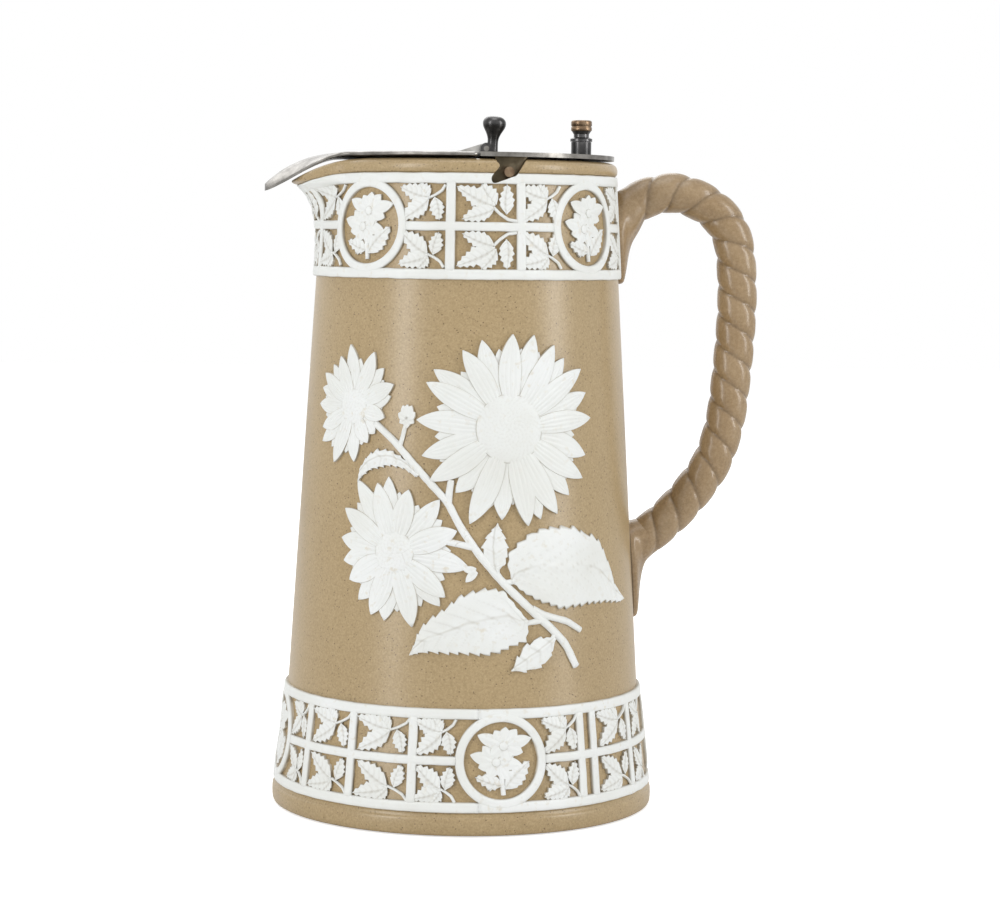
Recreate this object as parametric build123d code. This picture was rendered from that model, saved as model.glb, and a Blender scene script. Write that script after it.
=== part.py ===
from build123d import *
from math import cos, hypot, pi, radians, sin, sqrt, tan
import os

# Lidded stoneware jug. Millimetres, +Z up, origin on the table under the middle of the pot.
# The spout points to -X and the handle to +X, so the XZ plane splits the plain jug in two.

# Pot
rim_height = 210.0
bead_height = 4.6
bead_proud = 1.3
neck_radius = 47.35
hip_height = 38.3
hip_radius = 57.6
foot_height = 7.0
foot_radius = 62.6
foot_widest = 2.8
foot_proud = 1.4
foot_edge = 2.1
foot_round = 0.7
floor_thickness = 7.0
wall = 5.0
inner_corner = 9.0

# Spout: a trumpet about an upright line of its own
spout_axis_x = -29.0
throat_radius = 20.6
throat_height = 192.5
throat_low = 181.0
throat_lean = 9.9
flare_radius = 16.5
lip_lean = 57.5
lip_reach = 28.0
lip_drop = 7.4
bead_drop = 4.2
dip_start = 36.0

# Applied white relief
relief = 1.2
relief_seat = 0.02
pattern_start = 35.0
sprig_low = 44.0
sprig_high = 168.0

# Bands of trellis with round medallions
band_height = 33.0
rail = 3.0
middle_rail = 2.6
bar = 2.8
medallion_outer = 28.0
medallion_ring = 2.6
medallion_count = 4
medallion_petals = 9
medallion_flower_radius = 9.2
lower_band_bottom = 7.0
upper_bar_angle = 13.0
lower_medallion_angle = 7.0
lower_bar_step = 19.4
spray_length = 8.4
spray_half_width = 2.6
spray_step = 7.4
spray_seat = 0.05

# Rope handle
rope_radius = 6.6
strand_groove = 1.0
strand_roundness = 0.7
rope_lead = 18.8
rope_sides = 12
rope_rows_per_turn = 10
handle_reach = 89.5
handle_arch = 12.4
handle_foot_rise = 7.5
upper_root_height = 188.0
upper_root_above = 11.7
upper_root_below = 17.5
lower_root_height = 84.0
lower_root_above = 11.0
lower_root_below = 24.0
root_radius = 6.9
root_depth = 3.0
leaf_half_width = 9.2
leaf_edge = 1.4

# Pewter cover
cover_gap = 0.7
cover_thickness = 1.4
cover_radius = 47.4
cover_split = -1.0
split_gap = 1.0
tongue_start = 40.0
tongue_length = 26.3
tongue_crown = 3.8
tongue_bend_start = 42.0
tongue_bend_radius = 34.0

# Hinge and thumbpiece
hinge_x = 5.2
barrel_radius = 1.9
barrel_length = 5.0
barrel_lift = 0.25
knuckle_length = 3.2
knuckle_gap = 0.2
pin_radius = 0.9
running_clearance = 0.04
lever_travel_gap = 5.6
thumb_x = 7.5
thumb_lean = 4.5
thumb_base_gap = 0.8
thumb_foot_radius = 2.0
thumb_neck_radius = 1.7
thumb_neck_height = 4.1
thumb_ball_radius = 3.85
thumb_ball_height = 9.0
thumb_ball_drop = 2.5
thumb_height = 12.1
tang_length = 7.5
tang_edge = 0.4
tang_rise = 1.5
tang_crest = 2.2
tang_crest_drop = 0.6

# Studs that hook the cover into the rim
stud_x = 8.6
stud_drop = 4.1
stud_radius = 1.6
stud_clearance = 0.15
stud_sink = 0.6
stud_head = 0.8
ear_thickness = 1.5
ear_clearance = 0.4
ear_width = 12.0
ear_margin = 0.9

# Hooked slots in the rim: how far each corner lies ahead of, behind or below the stud
slot_mouth_ahead = 4.2
slot_mouth_behind = 7.6
slot_mouth_depth = 0.6
slot_lip_behind = 5.7
slot_throat_ahead = 3.0
slot_throat_rise = 2.0
slot_hook_ahead = 5.8
slot_hook_drop = 1.6
slot_toe_ahead = 4.3
slot_toe_drop = 3.9
slot_sill_ahead = 1.4
slot_sill_drop = 2.3
slot_step_behind = 2.1
slot_step_drop = 1.2
slot_past_rim = 3.0

# Quarter-turn catch at the back
catch_x = 36.9
spindle_radius = 1.6
collar_radius = 3.3
collar_height = 4.9
flange_gap = 0.15
flange_radius = 3.6
flange_thickness = 0.85
catch_neck_radius = 2.5
catch_neck_height = 2.5
brass_radius = 3.43
brass_height = 3.6
brass_bevel = 0.5
toe_length = 8.2
toe_width = 3.2
toe_hub_radius = 2.6
toe_thickness = 2.0
toe_drop = 7.5
toe_clearance = 0.5
nut_radius = 2.5
nut_height = 1.4
neck_fillet = 0.5
cap_shoulder = 1.0
cap_seat = 0.3

# Sizes that follow from the ones above
foot_neck_radius = foot_radius - foot_proud
foot_contact_radius = foot_radius - foot_edge
handle_top = upper_root_height + handle_arch
handle_foot = lower_root_height + handle_foot_rise
neck_height = rim_height - bead_height
upper_band_bottom = neck_height - band_height
cover_bottom = rim_height + cover_gap
cover_top = cover_bottom + cover_thickness
hinge_z = cover_top + barrel_lift + barrel_radius
stud_z = rim_height - stud_drop
collar_top = cover_top + collar_height
flange_low = collar_top + flange_gap
brass_low = flange_low + flange_thickness + catch_neck_height
toe_z = rim_height - toe_drop
far_out = 90.0


def wall_radius(z):
    """Bare outer radius of the wall at height z, away from the spout: two straight tapers."""
    if z < hip_height:
        return hip_radius + (foot_neck_radius - hip_radius) * (hip_height - z) / (hip_height - foot_height)
    return neck_radius + (hip_radius - neck_radius) * (neck_height - z) / (neck_height - hip_height)


def turned(x, outline):
    """A turned piece about an upright line on the middle plane, from its half outline."""
    return Location((x, 0, 0)) * revolve(Plane.XZ * make_face(outline), Axis.Z)


def round_form(grow, low, high):
    """The solid round pot between two heights, made thicker all round by grow."""
    heights = [low] + [hip_height] * (low < hip_height < high) + [high]
    side = [(wall_radius(z) + grow, z) for z in heights]
    return turned(0, Polyline((0, low), *side, (0, high), close=True))


def trumpet(grow):
    """The solid spout, running past the rim so that it can be cut there."""
    centre_r = throat_radius + flare_radius * cos(radians(throat_lean))
    centre_z = throat_height - flare_radius * sin(radians(throat_lean))

    def on_flare(lean):
        """The point of the flare where its side leans out by this angle from upright."""
        radius = flare_radius - grow
        return (centre_r - radius * cos(radians(lean)), centre_z + radius * sin(radians(lean)))

    begin, end = on_flare(throat_lean), on_flare(lip_lean)
    flare = ThreePointArc(begin, on_flare((throat_lean + lip_lean) / 2), end)
    low_radius = begin[0] - (begin[1] - throat_low) * tan(radians(throat_lean))
    rest = Polyline(end, (end[0], rim_height + 5), (0, rim_height + 5), (0, throat_low), (low_radius, throat_low), begin)
    return turned(spout_axis_x, Wire(flare.edges() + rest.edges()))


def pot_form(grow, low, high):
    """The round pot with its spout, solid, between two heights."""
    return round_form(grow, low, high) + trumpet(grow)


def above(level, drop):
    """Everything above a level line that dips by drop at the tip of the spout."""
    run = lip_reach - spout_axis_x - dip_start
    dip_radius = (run**2 + drop**2) / (2 * drop)

    def on_dip(x):
        """A point of the dip, x beyond its start."""
        return (-dip_start - x, level - dip_radius + sqrt(dip_radius**2 - x**2))

    end = on_dip(run + 5)
    dip = ThreePointArc((-dip_start, level), on_dip(run / 2), end)
    box = Polyline(end, (-far_out, end[1]), (-far_out, rim_height + 30), (far_out, rim_height + 30),
                   (far_out, level), (-dip_start, level))
    return extrude(Plane.XZ * make_face(Wire(dip.edges() + box.edges())), far_out, both=True)


def jug_body():
    """The thrown pot: foot, wall, rim bead and spout, with its cover slots and catch pocket."""
    foot = Polyline((0, 0), (foot_contact_radius, 0), (foot_radius, foot_widest),
                    (foot_radius - foot_round, foot_height), (0, foot_height), close=True)
    pot = pot_form(0, 0, rim_height + 5) + turned(0, foot)
    pot += pot_form(bead_proud, throat_low, rim_height + 5) & above(neck_height, bead_drop)
    pot -= above(rim_height, lip_drop)
    well = round_form(-wall, floor_thickness, rim_height + 5)
    pot -= fillet(well.edges().sort_by(Axis.Z)[:1], inner_corner)
    pot -= trumpet(-wall)
    for side in (-1, 1):
        pot -= cover_slot(side)
    return pot - Location((catch_x, 0, toe_z)) * Cylinder(toe_length + toe_clearance, toe_thickness + 2 * toe_clearance)


def cover_slot(side):
    """A hooked slot through the rim, wide at the mouth, that drops forward to a blind end."""
    seat = (stud_radius + stud_clearance) * sin(radians(70))
    seat_behind = (stud_radius + stud_clearance) * cos(radians(70))
    top = rim_height + slot_past_rim
    outline = Polyline(
        (stud_x - slot_mouth_ahead, top), (stud_x - slot_mouth_ahead, rim_height - slot_mouth_depth),
        (stud_x - slot_throat_ahead, stud_z + slot_throat_rise), (stud_x - slot_hook_ahead, stud_z - slot_hook_drop),
        (stud_x - slot_toe_ahead, stud_z - slot_toe_drop), (stud_x - slot_sill_ahead, stud_z - slot_sill_drop),
        (stud_x + seat_behind, stud_z - seat), (stud_x + slot_step_behind, stud_z - slot_step_drop),
        (stud_x + slot_lip_behind, rim_height), (stud_x + slot_mouth_behind, top), close=True)
    cut = extrude(Plane.XZ * make_face(outline), far_out)
    return cut if side < 0 else mirror(cut, Plane.XZ)


def laid(shape, clay):
    """The part of a shape that lies in a thin layer of clay, given as an outer and an inner form."""
    outer, inner = clay
    return (shape & outer) - inner


def facing(angle, z):
    """A plane that faces outwards from the pot: angle 0 looks along -Y, and +X is at 90 degrees."""
    out = Vector(sin(radians(angle)), -cos(radians(angle)), 0)
    right = Vector(cos(radians(angle)), sin(radians(angle)), 0)
    return Plane(Vector(0, 0, z) + out * pattern_start, x_dir=right, z_dir=out)


def pressed(sketch, angle, z, clay):
    """A flat pattern pressed radially out of a layer of white clay."""
    return laid(extrude(facing(angle, z) * sketch, far_out), clay)


def wrapped(points, z):
    """Points measured along the curved wall, seen square on, so that they keep their real spacing."""
    radius = wall_radius(z) + relief
    return [(radius * sin(u / radius), v) for u, v in points]


def slab(low, thickness):
    """A level disc that cuts a rail out of a layer of white clay."""
    return Location((0, 0, low)) * Cylinder(far_out, thickness, align=(Align.CENTER, Align.CENTER, Align.MIN))


def rays(sketch, angles, middle):
    """The same flat pattern run outwards from the axis at several angles."""
    return [extrude(facing(angle, middle) * sketch, far_out) for angle in angles]


def trellis(clay, low, rails, top, medallions, bar_angles):
    """Level rails with upright bars between them, left open where the medallions sit."""
    middle = low + band_height / 2
    band = laid(rails[0], clay)
    for piece in rails[1:] + [post - top for post in rays(Rectangle(bar, band_height), bar_angles, middle)]:
        band += laid(piece, clay)
    for medallion in rays(Circle(medallion_outer / 2), medallions, middle):
        band -= medallion
    return band


def lobed(radius, petals, waist, turn=0.0):
    """The outline of a flower head: one point at each petal tip and one in each notch."""
    points = []
    for step in range(2 * petals):
        a = pi * step / petals + radians(turn)
        reach = radius * (waist if step % 2 else 1)
        points.append((reach * cos(a), reach * sin(a)))
    return points


def pointed(length, above_rib, below_rib, turn):
    """The outline of a pointed leaf that runs from its stalk towards turn degrees."""
    upper = [(share, side * above_rib) for share, side in ((0.0, 0), (0.15, 0.72), (0.45, 1), (0.75, 0.68))]
    lower = [(share, -side * below_rib) for share, side in ((1.0, 0), (0.75, 0.68), (0.45, 1), (0.15, 0.72))]
    flip = -1 if cos(radians(turn)) < 0 else 1
    c, s = cos(radians(turn)), sin(radians(turn))
    return [(share * length * c - side * flip * s, share * length * s + side * flip * c) for share, side in upper + lower]


def sunflower(angle, z, radius, petals, turn=0.0):
    """A flower head as one flat pad of clay with pointed petals round its rim."""
    return pressed(make_face(Polyline(*wrapped(lobed(radius, petals, 0.8, turn), z), close=True)), angle, z, sprig_clay)


def leaf(angle, z, length, above_rib, below_rib, turn):
    """A pointed leaf of white clay on the wall."""
    outline = wrapped(pointed(length, above_rib, below_rib, turn), z)
    return pressed(make_face(Polyline(*outline, close=True)), angle, z, sprig_clay)


def stem(points, width):
    """A flat stem that follows points given as angle round the pot and height."""
    middle = points[len(points) // 2][0]
    line = [(radians(angle - middle) * (wall_radius(z) + relief), z) for angle, z in points]
    left, right = [], []
    for k, (u, v) in enumerate(line):
        before, after = line[max(k - 1, 0)], line[min(k + 1, len(line) - 1)]
        run = hypot(after[0] - before[0], after[1] - before[1])
        across = (-(after[1] - before[1]) / run * width / 2, (after[0] - before[0]) / run * width / 2)
        left.append((u + across[0], v + across[1]))
        right.append((u - across[0], v - across[1]))
    outline = wrapped(left + right[::-1], points[len(points) // 2][1])
    return pressed(make_face(Polyline(*outline, close=True)), middle, 0, sprig_clay)


def gathered(shapes):
    """One named piece made of several solids that do not touch."""
    return Compound(children=[solid for shape in shapes for solid in shape.solids()])


def on_wall(angle, z):
    """A plane that lies on the sloping wall, a hair off it."""
    slope = (wall_radius(z - 1) - wall_radius(z + 1)) / 2
    flat = facing(angle, z)
    out = flat.z_dir
    return Plane(out * (wall_radius(z) + spray_seat) + Vector(0, 0, z), x_dir=flat.x_dir, z_dir=out + Vector(0, 0, slope))


def sprays(low, cells):
    """A small flat leaf at each angle, height above the middle rail and lean that is given."""
    made = []
    for angle, step, lean in cells:
        outline = pointed(spray_length, spray_half_width, spray_half_width, lean)
        back = (spray_length / 2 * cos(radians(lean)), spray_length / 2 * sin(radians(lean)))
        face = make_face(Polyline(*[(u - back[0], v - back[1]) for u, v in outline], close=True))
        made.append(extrude(on_wall(angle, low + band_height / 2 + step) * face, relief - spray_seat))
    return gathered(made)


def handle_path():
    """The line through the middle of the rope, from the shoulder of the pot to its lower wall."""
    top = handle_top
    out = handle_reach
    foot = handle_foot
    points = [(wall_radius(upper_root_height) + 5, upper_root_height + 6), (69.5, top), (80.5, top - 4.5),
              (out - 2.0, top - 13.5), (out, top - 28.5), (out - 0.2, (top + foot) / 2 + 10),
              (out - 1.6, foot + 46.5), (out - 3.4, foot + 33), (out - 7.4, foot + 20.5),
              (out - 14.5, foot + 10), (out - 24.0, foot), (wall_radius(lower_root_height) + 3, lower_root_height + 2)]
    return Spline(*[(x, 0, z) for x, z in points])


def skinned(rings, caps):
    """A solid of flat facets between rings of points; a cap is a peak, or nothing for a flat end."""
    faces = []
    for low, high in zip(rings, rings[1:]):
        for k in range(len(low)):
            n = (k + 1) % len(low)
            faces.append(Face(Wire.make_polygon([low[k], low[n], high[n]])))
            faces.append(Face(Wire.make_polygon([low[k], high[n], high[k]])))
    for end_ring, peak in zip((rings[0], rings[-1]), caps):
        if peak is None:
            faces.append(Face(Wire.make_polygon(end_ring)))
        else:
            for a, b in zip(end_ring, end_ring[1:] + end_ring[:1]):
                faces.append(Face(Wire.make_polygon([a, b, peak])))
    return Solid(Shell(faces))


def rope():
    """Two rolls of clay twisted together to the left: rings of points that turn as they go."""
    rows = int(rope_rows_per_turn * path.length / rope_lead)
    rings = []
    for row in range(rows + 1):
        centre = path.position_at(row / rows)
        side = Vector(0, 1, 0)
        lift = path.tangent_at(row / rows).cross(side)
        turn = -2 * pi * row / rope_rows_per_turn
        points = []
        for k in range(rope_sides):
            a = 2 * pi * k / rope_sides
            radius = rope_radius - strand_groove * (1 - abs(sin(a)) ** strand_roundness)
            points.append(centre + side * (radius * cos(a + turn)) + lift * (radius * sin(a + turn)))
        rings.append(points)
    return skinned(rings, (None, None))


def handle_root(end, middle, above_root, below_root):
    """The flared end of the handle, drawn out to a leaf shape that is pressed on the wall."""
    centre = path @ end
    along = path % end
    side = Vector(0, 1, 0)
    lift = Vector(-along.Z, 0, along.X) * (1 if along.X > 0 else -1)
    rings = [[], [], [], []]
    for k in range(rope_sides):
        a = 2 * pi * k / rope_sides
        y = cos(a) * leaf_half_width
        z = middle + sin(a) * (above_root if sin(a) > 0 else below_root)
        on_wall = Vector(sqrt(wall_radius(z) ** 2 - y**2), y, z)
        on_rope = centre + side * (root_radius * cos(a)) + lift * (root_radius * sin(a))
        raised = on_wall + Vector(leaf_edge, 0, 0)
        rings[0].append(on_wall - Vector(root_depth, 0, 0))
        rings[1].append(raised)
        rings[2].append(raised * 0.45 + on_rope * 0.55)
        rings[3].append(on_rope)
    root = skinned(rings, (Vector(wall_radius(middle) - root_depth, 0, middle), None))
    return root - round_form(relief_seat, hip_height, neck_height)


def on_y(x, z, radius, y_low, y_high):
    """A round bar along Y."""
    bar_plane = Plane((x, y_low, z), x_dir=(1, 0, 0), z_dir=(0, 1, 0))
    return extrude(bar_plane * Circle(radius), y_high - y_low)


def upright(x, radius, z_low, z_high):
    """A round bar along Z on the middle line of the cover."""
    return extrude(Plane((x, 0, z_low)) * Circle(radius), z_high - z_low)


def rear_plate():
    """The fixed rear half of the cover, with a window for the thumb lever and a hole for the catch."""
    edge = cover_split + split_gap / 2
    plan = Circle(cover_radius) & Location((edge + far_out / 2, 0)) * Rectangle(far_out, 2 * far_out)
    front = hinge_x - barrel_radius - knuckle_gap
    back = hinge_x + lever_travel_gap
    plan -= Location(((front + back) / 2, 0)) * Rectangle(back - front, barrel_length + 2 * knuckle_gap)
    plan -= Location((catch_x, 0)) * Circle(spindle_radius + running_clearance)
    return extrude(Plane.XY.offset(cover_bottom) * plan, cover_thickness)


def tongue_section(share, width_share, crown_share):
    """A thin crowned slice across the tongue, share of the way from the disc to its tip."""
    x = -(tongue_start + share * tongue_length)
    bend = max(0.0, -x - tongue_bend_start)
    top = cover_top - (tongue_bend_radius - sqrt(tongue_bend_radius**2 - bend**2))
    half = width_share * sqrt(cover_radius**2 - tongue_start**2)
    edge = top - crown_share * tongue_crown
    low = (0, 0, -cover_thickness)
    corners = [Vector(x, -half, edge), Vector(x, half, edge)]
    upper = ThreePointArc(corners[0], Vector(x, 0, top), corners[1])
    lower = ThreePointArc(corners[1] + low, Vector(x, 0, top) + low, corners[0] + low)
    sides = [Line(corners[1], corners[1] + low), Line(corners[0] + low, corners[0])]
    return make_face(Wire([upper.edge(), sides[0].edge(), lower.edge(), sides[1].edge()]))


def front_flap():
    """The front half of the cover, flat over the mouth, with a crowned tongue bent down over the spout."""
    edge = cover_split - split_gap / 2
    plan = Circle(cover_radius) & Location(((edge - tongue_start) / 2, 0)) * Rectangle(edge + tongue_start, 2 * far_out)
    flat = extrude(Plane.XY.offset(cover_bottom) * plan, cover_thickness)
    return flat + loft([tongue_section(*station) for station in tongue_stations], ruled=True)


def flap_tang():
    """The strap on the flap that carries the middle knuckle of the hinge."""
    half = barrel_length / 2
    root = cover_split - split_gap / 2
    crest = hinge_z + barrel_radius
    strap = Polyline((root - tang_length, cover_top), (root, cover_top), (root, cover_top + barrel_lift),
                     (hinge_x, cover_top + barrel_lift), (hinge_x, crest), (hinge_x - tang_crest, crest - tang_crest_drop),
                     (root - tang_rise, cover_top + tang_rise), (root - tang_length, cover_top + tang_edge), close=True)
    piece = extrude(Plane.XZ * make_face(strap), half, both=True) + on_y(hinge_x, hinge_z, barrel_radius, -half, half)
    return piece - on_y(hinge_x, hinge_z, pin_radius + running_clearance, -half, half)


def thumb_knob():
    """The pear-shaped thumbpiece that stands on the middle knuckle and leans back a little."""
    base = cover_top + thumb_base_gap
    neck = base + thumb_neck_height
    ball = base + thumb_ball_height
    top = base + thumb_height
    low = (sqrt(thumb_ball_radius**2 - thumb_ball_drop**2), ball - thumb_ball_drop)
    high = (sqrt(thumb_ball_radius**2 - (top - ball) ** 2), top)
    round_side = ThreePointArc(low, (thumb_ball_radius, ball), high)
    rest = Polyline(high, (0, top), (0, base), (thumb_foot_radius, base), (thumb_neck_radius, neck), low)
    knob = turned(0, Wire(round_side.edges() + rest.edges()))
    knob = Pos(thumb_x, 0, base) * Rot(0, thumb_lean, 0) * Pos(0, 0, -base) * knob
    return knob - on_y(hinge_x, hinge_z, barrel_radius, -barrel_length, barrel_length)


def knuckles():
    """The two outer knuckles, each on a foot on the rear plate, either side of the flap's own."""
    near = barrel_length / 2 + knuckle_gap
    pair = []
    for low, high in ((near, near + knuckle_length), (-near - knuckle_length, -near)):
        block = Location((hinge_x, (low + high) / 2, (cover_top + hinge_z) / 2)) * Box(
            2 * barrel_radius, knuckle_length, hinge_z - cover_top)
        piece = block + on_y(hinge_x, hinge_z, barrel_radius, low, high)
        pair.append(piece - on_y(hinge_x, hinge_z, pin_radius, low, high))
    return gathered(pair)


def rim_ears():
    """The two lugs that hang from the rear plate just inside the mouth."""
    outer = wall_radius(stud_z) - wall - ear_clearance
    tube = Cylinder(outer, far_out) - Cylinder(outer - ear_thickness, far_out)
    tube = Location((0, 0, cover_bottom - far_out / 2)) * tube
    shape = Polyline((stud_x - ear_width / 2, cover_bottom), (stud_x + ear_width / 2, cover_bottom),
                     (stud_x + stud_radius + ear_margin, stud_z), (stud_x - stud_radius - ear_margin, stud_z), close=True)
    plan = make_face(shape) + Location((stud_x, stud_z)) * Circle(stud_radius + ear_margin)
    ear = (extrude(Plane.XZ * plan, far_out) & tube) - stud(-1)
    return gathered([ear, mirror(ear, Plane.XZ)])


def stud(side):
    """A round stud riveted through its lug and standing out through the slot in the rim."""
    inner = sqrt((wall_radius(stud_z) - wall - ear_clearance) ** 2 - stud_x**2) - ear_thickness - stud_head
    outer = sqrt((neck_radius + bead_proud) ** 2 - stud_x**2) - stud_sink
    low, high = (inner, outer) if side > 0 else (-outer, -inner)
    return on_y(stud_x, stud_z, stud_radius, low, high)


def catch_toe():
    """The toe that swings into the pocket in the back wall, on a hub fixed to the spindle."""
    reach = Location((toe_length / 2, 0, 0)) * Box(toe_length, toe_width, toe_thickness)
    tip = Cylinder(toe_length, toe_thickness) & reach
    toe = tip + Cylinder(toe_hub_radius, toe_thickness)
    return Location((catch_x, 0, toe_z)) * (toe - Cylinder(spindle_radius, toe_thickness))


# Tongue of the flap: share of its length, share of its full width, share of its full crown
tongue_stations = ((0, 1, 0.02), (0.23, 0.81, 0.24), (0.46, 0.61, 0.68), (0.68, 0.43, 1), (0.87, 0.27, 0.9), (1, 0.12, 0.42))

# Sprig: a sunflower branch, each part placed by its angle round the pot and its height
sprig_clay = (round_form(relief, sprig_low, sprig_high), round_form(relief_seat, sprig_low - 1, sprig_high + 1))
heads = {
    "large_sunflower": sunflower(10.0, 126.4, 30.0, 19, 90),
    "side_sunflower": sunflower(-47.5, 132.0, 18.3, 16, 80),
    "low_sunflower": sunflower(-27.5, 87.3, 23.0, 17, 100),
    "sunflower_bud": sunflower(-25.4, 129.9, 4.0, 5, 90),
    "broad_leaf": leaf(10.7, 78.7, 50.2, 20.0, 7.0, -10),
    "long_leaf": leaf(15.6, 63.2, 38.8, 15.5, 5.0, 192),
    "curled_leaf": leaf(-20.5, 112.0, 22.5, 9.0, -4.0, 186),
    "low_leaf": leaf(25.5, 60.3, 16.9, 4.2, 3.6, 211),
    "upright_leaf": leaf(5.9, 82.2, 15.0, 2.9, 5.0, 89),
}
for name in ("curled_leaf", "sunflower_bud"):
    heads[name] -= heads["side_sunflower"]
stem_width = 2.5
twig_width = 2.0
stem_line = ((-37.6, 127.3), (-29.5, 121.7), (-20.2, 112.7), (-10.7, 103.6), (-6.2, 95.6), (0.4, 86.6),
             (8.4, 77.8), (16.5, 70.4), (24.5, 63.5), (29.7, 58.4), (33.1, 52.1))
twigs = (((21.8, 68.0), (30.4, 65.6), (35.6, 62.7)), ((-10.2, 104.5), (-9.9, 109.0)),
         ((-26.9, 120.5), (-26.6, 126.6)), ((-3.5, 90.0), (-10.5, 91.2)))
stems = stem(stem_line, stem_width)
for line in twigs:
    stems += stem(line, twig_width)
for shape in heads.values():
    stems -= shape

# Bands: angles round the pot of the medallions and of the upright bars between them
quarter = 360 / medallion_count
turns = [quarter * k for k in range(medallion_count)]
upper_medallions = [turn + quarter / 2 for turn in turns]
upper_bars = [turn + side * upper_bar_angle for turn in turns for side in (-1, 1)]
lower_medallions = [turn + lower_medallion_angle for turn in turns]
lower_bars = [turn + lower_medallion_angle + quarter / 2 + side * lower_bar_step for turn in turns for side in (-1, 0, 1)]
halves = [(spray_step, 1), (-spray_step, -1)]
upper_cells = [(turn + side * 21.0, step, up * (90 - side * 15)) for turn in turns[:3] for side in (-1, 1) for step, up in halves]
upper_cells += [(turn, step, up * 90) for turn in (0, 180) for step, up in halves]
upper_cells += [(270 + away, -spray_step, -90) for away in (-21.0, 0, 21.0)]
lower_cells = [(turn + lower_medallion_angle + quarter / 2 + side * away, step, up * 90)
               for turn in turns for side in (-1, 1) for away in (lower_bar_step / 2, 26.0) for step, up in halves]
upper_clay = (pot_form(relief, upper_band_bottom - 1, rim_height + 2),
              pot_form(relief_seat, upper_band_bottom - 2, rim_height + 3))
lower_clay = (round_form(relief, lower_band_bottom, lower_band_bottom + band_height + 1),
              round_form(relief_seat, lower_band_bottom - 1, lower_band_bottom + band_height + 2))
middle_step = (band_height - middle_rail) / 2
upper_rails = [slab(upper_band_bottom, rail), slab(upper_band_bottom + middle_step, middle_rail),
               above(neck_height - rail, bead_drop) - above(neck_height, bead_drop)]
lower_rails = [slab(lower_band_bottom, rail), slab(lower_band_bottom + middle_step, middle_rail),
               slab(lower_band_bottom + band_height - rail, rail)]
upper_top = above(neck_height - rail / 2, bead_drop)
lower_top = slab(lower_band_bottom + band_height - rail / 2, band_height)
opening_half = (wall_radius(upper_root_height) + relief) * sin(radians(upper_bar_angle)) - bar / 2
opening = Location((0, -rail / 2)) * Rectangle(2 * opening_half, band_height - rail)
upper_band = trellis(upper_clay, upper_band_bottom, upper_rails, upper_top, upper_medallions, upper_bars)
for cut in rays(opening, [90], upper_band_bottom + band_height / 2) + [cover_slot(side) for side in (-1, 1)]:
    upper_band -= cut
lower_band = trellis(lower_clay, lower_band_bottom, lower_rails, lower_top, lower_medallions, lower_bars)
frame_ring = Circle(medallion_outer / 2) - Circle(medallion_outer / 2 - medallion_ring)
flower = make_face(Polyline(*lobed(medallion_flower_radius, medallion_petals, 0.82, 90), close=True))

path = handle_path()
nodes = {"jug_body": jug_body(), "rope_handle": rope()}
nodes["upper_handle_root"] = handle_root(0, upper_root_height, upper_root_above, upper_root_below)
nodes["lower_handle_root"] = handle_root(1, lower_root_height, lower_root_above, lower_root_below)
for name, shape in {**heads, "sprig_stems": stems}.items():
    nodes[name] = gathered([shape, Rot(0, 0, 180) * shape])
for name, clay, band, low, medallions, cells in (
        ("upper", upper_clay, upper_band, upper_band_bottom, upper_medallions, upper_cells),
        ("lower", lower_clay, lower_band, lower_band_bottom, lower_medallions, lower_cells)):
    middle = low + band_height / 2
    nodes[name + "_band"] = gathered([band])
    nodes[name + "_medallion_rings"] = gathered([laid(ray, clay) for ray in rays(frame_ring, medallions, middle)])
    nodes[name + "_medallion_flowers"] = gathered([laid(ray, clay) for ray in rays(flower, medallions, middle)])
    nodes[name + "_band_leaves"] = sprays(low, cells)

nodes["rear_plate"] = rear_plate()
nodes["front_flap"] = front_flap()
nodes["flap_tang"] = flap_tang()
nodes["thumb_knob"] = thumb_knob()
nodes["hinge_knuckles"] = knuckles()
pin_half = barrel_length / 2 + knuckle_gap + knuckle_length
nodes["hinge_pin"] = on_y(hinge_x, hinge_z, pin_radius, -pin_half, pin_half)
nodes["rim_ears"] = rim_ears()
nodes["rim_studs"] = gathered([stud(side) for side in (-1, 1)])
nodes["catch_collar"] = upright(catch_x, collar_radius, cover_top, collar_top) - upright(
    catch_x, spindle_radius + running_clearance, cover_top, collar_top)
nodes["catch_neck"] = turned(catch_x, Polyline(
    (0, flange_low), (flange_radius, flange_low), (flange_radius, flange_low + flange_thickness),
    (catch_neck_radius, flange_low + flange_thickness + neck_fillet), (catch_neck_radius, brass_low - cap_shoulder),
    (brass_radius - cap_seat, brass_low), (0, brass_low), close=True))
nodes["brass_knob"] = turned(catch_x, Polyline(
    (0, brass_low), (brass_radius, brass_low), (brass_radius, brass_low + brass_height - brass_bevel),
    (brass_radius - brass_bevel, brass_low + brass_height), (0, brass_low + brass_height), close=True))
nut_low = toe_z - toe_thickness / 2 - nut_height
nodes["catch_spindle"] = upright(catch_x, spindle_radius, nut_low, flange_low)
nodes["catch_toe"] = catch_toe()
nodes["spindle_nut"] = extrude(Plane((catch_x, 0, nut_low)) * (RegularPolygon(nut_radius, 6) - Circle(spindle_radius)),
                               nut_height)

os.makedirs("parts", exist_ok=True)
for name, shape in nodes.items():
    print(name, len(shape.solids()), round(shape.volume, 1), all(s.is_valid for s in shape.solids()))
    export_step(shape, f"parts/{name}.step")
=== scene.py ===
import random
import bpy
import bmesh
from math import atan2, cos, degrees, exp, hypot, log, pi, radians, sin, sqrt, tan
from mathutils import Matrix, Vector, noise


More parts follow.
